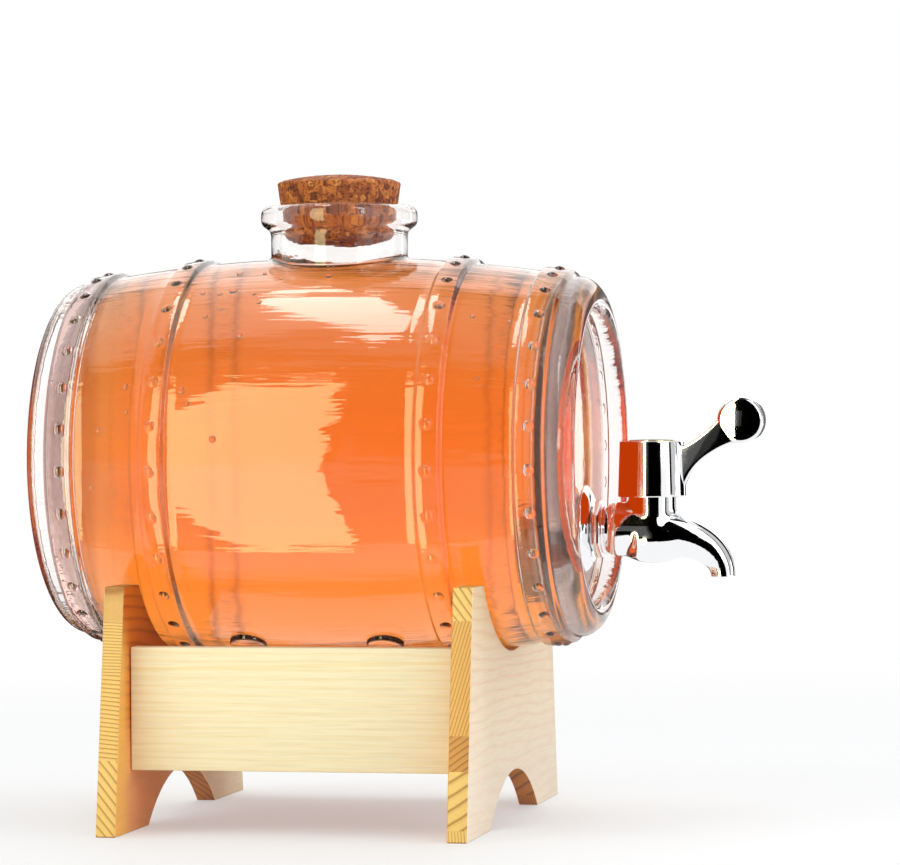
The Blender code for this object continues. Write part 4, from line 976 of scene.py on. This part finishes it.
def handle(material):
    """Hollow collar with its lever, whose two sides are nearly flat."""
    ceiling = COLLAR_LIFT + COLLAR_HOLLOW_HEIGHT
    profile = [(0, ceiling), (COLLAR_HOLLOW, ceiling), (COLLAR_HOLLOW, COLLAR_LIFT)]
    profile += arc((COLLAR_FOOT_RADIUS - COLLAR_EDGE, COLLAR_LIFT + COLLAR_EDGE), COLLAR_EDGE, -90, 0, 5)
    profile += arc((COLLAR_TOP_RADIUS - COLLAR_EDGE, COLLAR_TOP - COLLAR_EDGE), COLLAR_EDGE, 3, 90, 5)
    profile += [(CAP_RECESS_RADIUS, COLLAR_TOP), (CAP_RECESS_RADIUS, COLLAR_TOP - CAP_RECESS),
                (0, COLLAR_TOP - CAP_RECESS)]
    collar = turn_z("tap_handle_collar", profile, 128, VALVE)
    start, end = Vector(LEVER_START), Vector(KNOB_PLACE)
    reach = (end - start).length - KNOB_SEAT - 0.0001
    lever = turn_x("lever", [(0, 0)] + lever_profile(reach) + [(reach, 0)], 96, VALVE + start)
    edit(lever)
    mesh = bmesh.from_edit_mesh(lever.data)
    middle = VALVE + start
    for vert in mesh.verts:
        out = sqrt(vert.co.y ** 2 + (vert.co.z - middle.z) ** 2)
        if out > WELD:
            share = abs(vert.co.y) / out
            far = (vert.co.x - middle.x) / reach - 0.55
            side = (LEVER_HALF - 0.0012 * far * far) * (0.965 + 0.035 * share * share)
            vert.co.y = copysign(side * (1 - (1 - share) ** 5), vert.co.y)
    bmesh.update_edit_mesh(lever.data)
    bpy.ops.mesh.select_all(action="SELECT")
    rise = atan2(end.z - start.z, end.x - start.x)
    rotate_by(-rise, "Y", VALVE + start)
    bpy.ops.object.mode_set(mode="OBJECT")
    inside = [(0, 0), (COLLAR_HOLLOW, 0), (COLLAR_HOLLOW, ceiling), (0, ceiling)]
    combine(lever, turn_z("inside", inside, 96, VALVE), "DIFFERENCE", "EXACT")
    combine(collar, lever, "UNION", "EXACT")
    finish_in(collar, material, 30)
    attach(collar, "tap_lever")
    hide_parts("tap_handle")


def knob(material):
    """A thick round button with softly domed sides and a flat where the lever meets it."""
    low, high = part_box("lever_knob")
    half, rim = (high.y - low.y) / 2, KNOB_RADIUS - KNOB_EDGE_ROUND
    fall = rim ** 2 / (2 * KNOB_FACE_ROUND)
    side = [(rim * step / 8, half - fall * (step / 8) ** 2) for step in range(9)]
    side += arc((rim, half - fall - KNOB_EDGE_ROUND), KNOB_EDGE_ROUND, 90 - rim / KNOB_FACE_ROUND * 180 / pi, 0, 9)
    place = VALVE + Vector(KNOB_PLACE)
    outline = side + [(radius, -out) for radius, out in reversed(side)]
    button = turn("lever_button", [(place.x + radius, out, place.z) for radius, out in outline], place, (0, 1, 0), 96)
    direction = (Vector(KNOB_PLACE) - Vector(LEVER_START)).normalized()
    edit(button)
    seat = place - direction * KNOB_SEAT
    bpy.ops.mesh.bisect(plane_co=seat, plane_no=direction, clear_inner=True, use_fill=True)
    close_shell()
    finish_in(button, material, 40)
    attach(button, "tap_lever")
    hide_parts("lever_knob")


def cap(material):
    """A thin disc with a softly crowned face."""
    low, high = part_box("handle_cap")
    radius = (high.x - low.x) / 2
    foot, top = low.z - VALVE.z, high.z - VALVE.z
    profile = [(0, foot), (radius, foot), (radius, top - 0.0005)]
    profile += arc((radius - 0.0004, top - 0.0006), 0.0004, 10, 80, 4)
    profile += [(radius * share, top - 0.0002 * share * share) for share in (0.9, 0.7, 0.5, 0.25, 0)]
    piece = turn_z("cap_disc", profile, 96, VALVE)
    finish_in(piece, material, 35)
    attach(piece, "tap_lever")
    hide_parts("handle_cap")


# Studio

def as_reflection(piece, strength, colour, in_glass):
    """Make a piece a glowing or black card that shows only in reflections, or only through glass."""
    made = bpy.data.materials.new(piece.name)
    made.use_nodes = True
    tree = made.node_tree
    tree.nodes.clear()
    glow = tree.nodes.new("ShaderNodeEmission")
    glow.inputs["Color"].default_value = (*colour, 1)
    glow.inputs["Strength"].default_value = strength
    out = tree.nodes.new("ShaderNodeOutputMaterial")
    tree.links.new(glow.outputs[0], out.inputs["Surface"])
    piece.data.materials.append(made)
    piece.visible_camera = False
    piece.visible_diffuse = False
    piece.visible_shadow = False
    piece.visible_volume_scatter = False
    piece.visible_glossy = not in_glass
    piece.visible_transmission = in_glass


def card(name, azimuth, elevation, distance, strength, centre, colour=(1, 1, 1), in_glass=False, steps=12):
    """A curved card round a place between two azimuths (from -Y, to the right) and elevations."""
    low_turn, high_turn = (radians(value) for value in azimuth)
    outline = [(centre[0] + out * sin(low_turn), centre[1] - out * cos(low_turn), centre[2] + up)
               for out, up in arc((0, 0), distance, *elevation, steps)]
    piece = trace(name, outline)
    bpy.ops.mesh.select_all(action="SELECT")
    bpy.ops.mesh.spin(steps=2 * steps, angle=low_turn - high_turn, center=centre, axis=(0, 0, 1))
    bpy.ops.object.mode_set(mode="OBJECT")
    as_reflection(piece, strength, colour, in_glass)


def panel(name, corners, strength, colour=(1, 1, 1)):
    """A flat card between some corners."""
    piece = trace(name, corners + corners[:1], closed=True)
    bpy.ops.object.mode_set(mode="OBJECT")
    as_reflection(piece, strength, colour, False)


FLOOR_RADIUS = 12
FLOOR_TONE = (0.818, 0.83, 0.842)


def pale_floor():
    """A pale matt floor that fades to white away from the object."""
    floor = begin("floor", bpy.ops.mesh.primitive_circle_add, vertices=64, radius=1.0, fill_type="NGON")
    bpy.ops.transform.resize(value=(FLOOR_RADIUS, FLOOR_RADIUS, 1))
    bpy.ops.object.mode_set(mode="OBJECT")
    made = new_material("pale_floor", base_color=FLOOR_TONE, roughness=0.7)
    tree, add, shader = nodes(made)
    place = add("TexCoord").outputs["Object"]
    distance = add("VectorMath", {"operation": "LENGTH"}, i0=place)
    far = add("MapRange", {"interpolation_type": "SMOOTHSTEP"}, Value=distance.outputs["Value"], i1=0.22, i2=0.9,
              i3=0.35)
    path = add("LightPath")
    direct = add("Math", {"operation": "MAXIMUM"}, i0=path.outputs["Is Camera Ray"], i1=path.outputs["Is Glossy Ray"])
    direct = add("Math", {"operation": "MAXIMUM"}, i0=direct.outputs[0], i1=path.outputs["Is Transmission Ray"])
    share = add("Math", {"operation": "MULTIPLY"}, i0=far.outputs[0], i1=direct.outputs[0])
    white = add("Emission", Color=(1, 1, 1, 1), Strength=1.0)
    mix = add("MixShader", i0=share.outputs[0], i1=shader.outputs[0], i2=white.outputs[0])
    tree.links.new(mix.outputs[0], tree.nodes["Material Output"].inputs["Surface"])
    floor.data.materials.append(made)
    floor.visible_glossy = False


def white_world(diffuse):
    """White where it is seen, and a softer white as light on matt surfaces."""
    world = bpy.data.worlds.new("white_studio")
    bpy.context.scene.world = world
    world.use_nodes = True
    tree = world.node_tree
    tree.nodes.clear()
    path = tree.nodes.new("ShaderNodeLightPath")
    seen = path.outputs["Is Camera Ray"]
    for name in ("Is Glossy Ray", "Is Transmission Ray"):
        either = tree.nodes.new("ShaderNodeMath")
        either.operation = "MAXIMUM"
        tree.links.new(seen, either.inputs[0])
        tree.links.new(path.outputs[name], either.inputs[1])
        seen = either.outputs[0]
    soft, plain = tree.nodes.new("ShaderNodeBackground"), tree.nodes.new("ShaderNodeBackground")
    soft.inputs["Strength"].default_value = diffuse
    for node in (soft, plain):
        node.inputs["Color"].default_value = (1, 1, 1, 1)
    mix, out = tree.nodes.new("ShaderNodeMixShader"), tree.nodes.new("ShaderNodeOutputWorld")
    tree.links.new(seen, mix.inputs[0])
    tree.links.new(soft.outputs[0], mix.inputs[1])
    tree.links.new(plain.outputs[0], mix.inputs[2])
    tree.links.new(mix.outputs[0], out.inputs["Surface"])


def softbox(name, place, size, power, target=(0, 0, 0.1)):
    """An area lamp that lights surfaces softly and leaves reflections to the cards."""
    lamp = bpy.data.lights.new(name, "AREA")
    lamp.shape = "RECTANGLE"
    lamp.size, lamp.size_y = size
    lamp.energy = power
    holder = bpy.data.objects.new(name, lamp)
    bpy.context.scene.collection.objects.link(holder)
    holder.location = place
    holder.rotation_euler = (Vector(target) - Vector(place)).to_track_quat("-Z", "Y").to_euler()
    holder.visible_glossy = False
    holder.visible_transmission = False
    holder.visible_camera = False


CAMERA_PLACE = (0.3161, -1.4189, 0.1533)
CAMERA_TURNS = (0.2098, -0.0057, -0.0074)
CAMERA_LENS = 153.74


def photo_camera():
    """The camera that was fitted to the photo's edges."""
    camera = bpy.data.cameras.new("photo_camera")
    camera.lens = CAMERA_LENS
    camera.sensor_width = 36
    camera.sensor_fit = "HORIZONTAL"
    camera.clip_start, camera.clip_end = 0.05, 50
    holder = bpy.data.objects.new("photo_camera", camera)
    bpy.context.scene.collection.objects.link(holder)
    yaw, pitch, roll = CAMERA_TURNS
    turned = Matrix.Rotation(yaw, 4, "Z") @ Matrix.Rotation(pi / 2 + pitch, 4, "X")
    turned = turned @ Matrix.Rotation(roll, 4, "Z")
    holder.matrix_world = Matrix.Translation(CAMERA_PLACE) @ turned
    bpy.context.scene.camera = holder


photo_camera()
white_world(0.78)
pale_floor()
softbox("top_softbox", (0.1, 0.10, 1.3), (1.0, 1.0), 5)
softbox("left_softbox", (-1.1, -0.9, 0.8), (0.8, 0.8), 4.8)
softbox("right_softbox", (1.6, -0.3, 0.4), (0.9, 0.9), 6.0)
MIDDLE = (barrel_x, -0.07, axis_z)
HANDLE = (tap_x + 0.025, 0, tap_z + 0.035)
TAP = (tap_x, 0, tap_z)
DUSKY = (0.62, 0.27, 0.18)
card("black_card", (-52, 43), (-49, 66), 1.9, 0.0, MIDDLE)
card("dusky_card", (-70, 60), (-50, 62), 1.95, 1.0, MIDDLE, DUSKY, True)
card("backlight_low", (145, 240), (-12, 9), 1.95, 1.1, MIDDLE, (1, 1, 1), True)
card("backlight_high", (145, 240), (9, 50), 1.95, 1.3, MIDDLE, (1, 0.98, 0.94), True)
card("window_card", (-30, -10.5), (-49, 43), 1.5, 7.3, MIDDLE, (1, 0.94, 0.50))
card("grey_card", (-14.4, -12.8), (-8, 13), 1.45, 0.32, HANDLE)
card("dim_card", (-12.8, -9), (-8, 13), 1.46, 0.09, HANDLE)
card("dark_card", (-9, -5), (-8, 13), 1.47, 0.03, HANDLE)
card("chime_card", (47, 60), (4, 58), 1.45, 8.0, MIDDLE, (1, 0.97, 0.94))
card("right_strip", (62, 150), (-10, 60), 1.75, 1.6, MIDDLE)
card("right_dark", (150, 188), (-45, 12), 1.8, 0.15, MIDDLE)
card("back_card", (160, 215), (12, 57), 2.1, 1.9, MIDDLE)
card("pale_line", (79, 118), (-6, 60), 1.62, 0.62, TAP)
card("dark_line", (71, 79), (-6, 60), 1.6, 0.0, TAP)
card("dark_edge", (118, 145), (-6, 60), 1.6, 0.0, TAP)
card("spout_sky", (28, 70), (20, 70), 0.3, 1.6, (tap_x + 0.015, 0, tap_z))
card("left_dark", (-172, -100), (-45, 12), 1.8, 0.0, MIDDLE)
card("ceiling_card", (-50, 230), (64, 89), 1.8, 0.05, MIDDLE)
card("sash_line", (-27, -13), (47.2, 48.8), 1.5, 5.0, MIDDLE, (1, 0.94, 0.60))
STRIP = ((-0.366, 0.272), (-0.351, 0.106), (-0.241, -0.184), (-0.152, -0.454), (-0.077, -0.350), (-0.087, -0.101),
         (-0.132, 0.106), (-0.164, 0.314), (-0.332, 0.355))
panel("strip_card", [(barrel_x + along, across, 1.30) for along, across in STRIP], 10.0, (1, 0.96, 0.9))
panel("head_card", [(0.085, 0.180, axis_z - 0.06), (0.125, 0.172, axis_z - 0.06), (0.125, 0.172, axis_z + 0.06),
                    (0.085, 0.180, axis_z + 0.06)], 2.0)
panel("tap_floor_card", [(0.060, -0.13, 0.055), (0.35, -0.13, 0.055), (0.35, 0.3, 0.055), (0.060, 0.3, 0.055)], 1.0)
panel("red_card", [(0.078, -0.0225, tap_z + 0.003), (0.078, 0.008, tap_z + 0.003), (0.078, 0.008, tap_z + 0.06),
                   (0.078, -0.0225, tap_z + 0.06)], 1.0, (0.56, 0.045, 0.002))

glass = glass_material()
chrome = chrome_material()
glass_barrel(glass)
drink(drink_material())
drops(water_material())
cork_stopper(cork_material())
rail_tones = ((0.96, 0.85, 0.56), (0.93, 0.78, 0.43))
rail_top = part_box("right_stretcher")[1].z
rail_pine = pine_material("rail_pine", "X", (4, 45, 45), rail_tones, rail_tones, rail_tones, rail_tones[0],
                          ((0.0, (0, 0, 900), (1, 1, 1)),), rail_top - VEIN_DEPTH)
# Face, inner, sawn edge and foot tones for the boards; the inner pair is painted shade, and the foot tone sets how
# the painted warm light fades.
board_tones_and_painted_shades = (((0.87, 0.67, 0.42), (0.83, 0.56, 0.32)), ((0.68, 0.155, 0.004), (0.48, 0.09, 0.002)),
               ((0.90, 0.60, 0.165), (0.50, 0.22, 0.03)), (0.90, 0.83, 0.73))
front_pine = pine_material("front_board_pine", "Y", (40, 8, 40), *board_tones_and_painted_shades,
                           ((0.0, (900, 0, 60), (1, 1, 1)), (0.0042, (-130, 0, 210), (1, 1, 1)),
                            (0.025, (-300, 0, 400), (0.72, 0.50, 0.30)), (0.0375, (-800, 0, 230), (0.90, 0.74, 0.58)),
                            (0.078, (330, 0, 240), (1, 1, 1))))
rear_pine = pine_material("rear_board_pine", "Y", (40, 8, 40), *board_tones_and_painted_shades,
                          ((0.0, (300, 0, 260), (1, 1, 1)), (0.027, (60, 0, 640), (0.98, 0.94, 0.88)),
                           (0.058, (40, 0, 900), (0.96, 0.93, 0.9)), (0.077, (10, 0, 60), (0.84, 0.72, 0.68))))
end_board("front_board", "front_end_board", front_pine)
end_board("rear_board", "rear_end_board", rear_pine)
stretcher("right_rail", "right_stretcher", rail_pine)
stretcher("left_rail", "left_stretcher", rail_pine)
tap_casting(chrome)
escutcheon(chrome)
handle(chrome)
knob(chrome)
cap(plain_material("warm_chrome_cap", (0.87, 0.76, 0.45), 0.12, 1.0))

small_parts = {
    "beech": plain_material("turned_beech", (0.72, 0.52, 0.32), 0.6),
    "silicone": plain_material("silicone_seal", (0.88, 0.88, 0.86), 0.4),
    "nylon": plain_material("moulded_nylon", (0.90, 0.90, 0.88), 0.35),
    "valve_brass": plain_material("turned_brass", (0.78, 0.62, 0.30), 0.25, 1.0),
    "screw_steel": plain_material("zinc_steel", (0.60, 0.61, 0.63), 0.3, 1.0),
}
for row in frame["record"]["subparts"]:
    finish = small_parts.get(row["material_slot"])
    if finish:
        carried = frame["nodes"][row["node"]]
        carried.data.materials.clear()
        carried.data.materials.append(finish)

bpy.context.scene.view_settings.view_transform = "Standard"
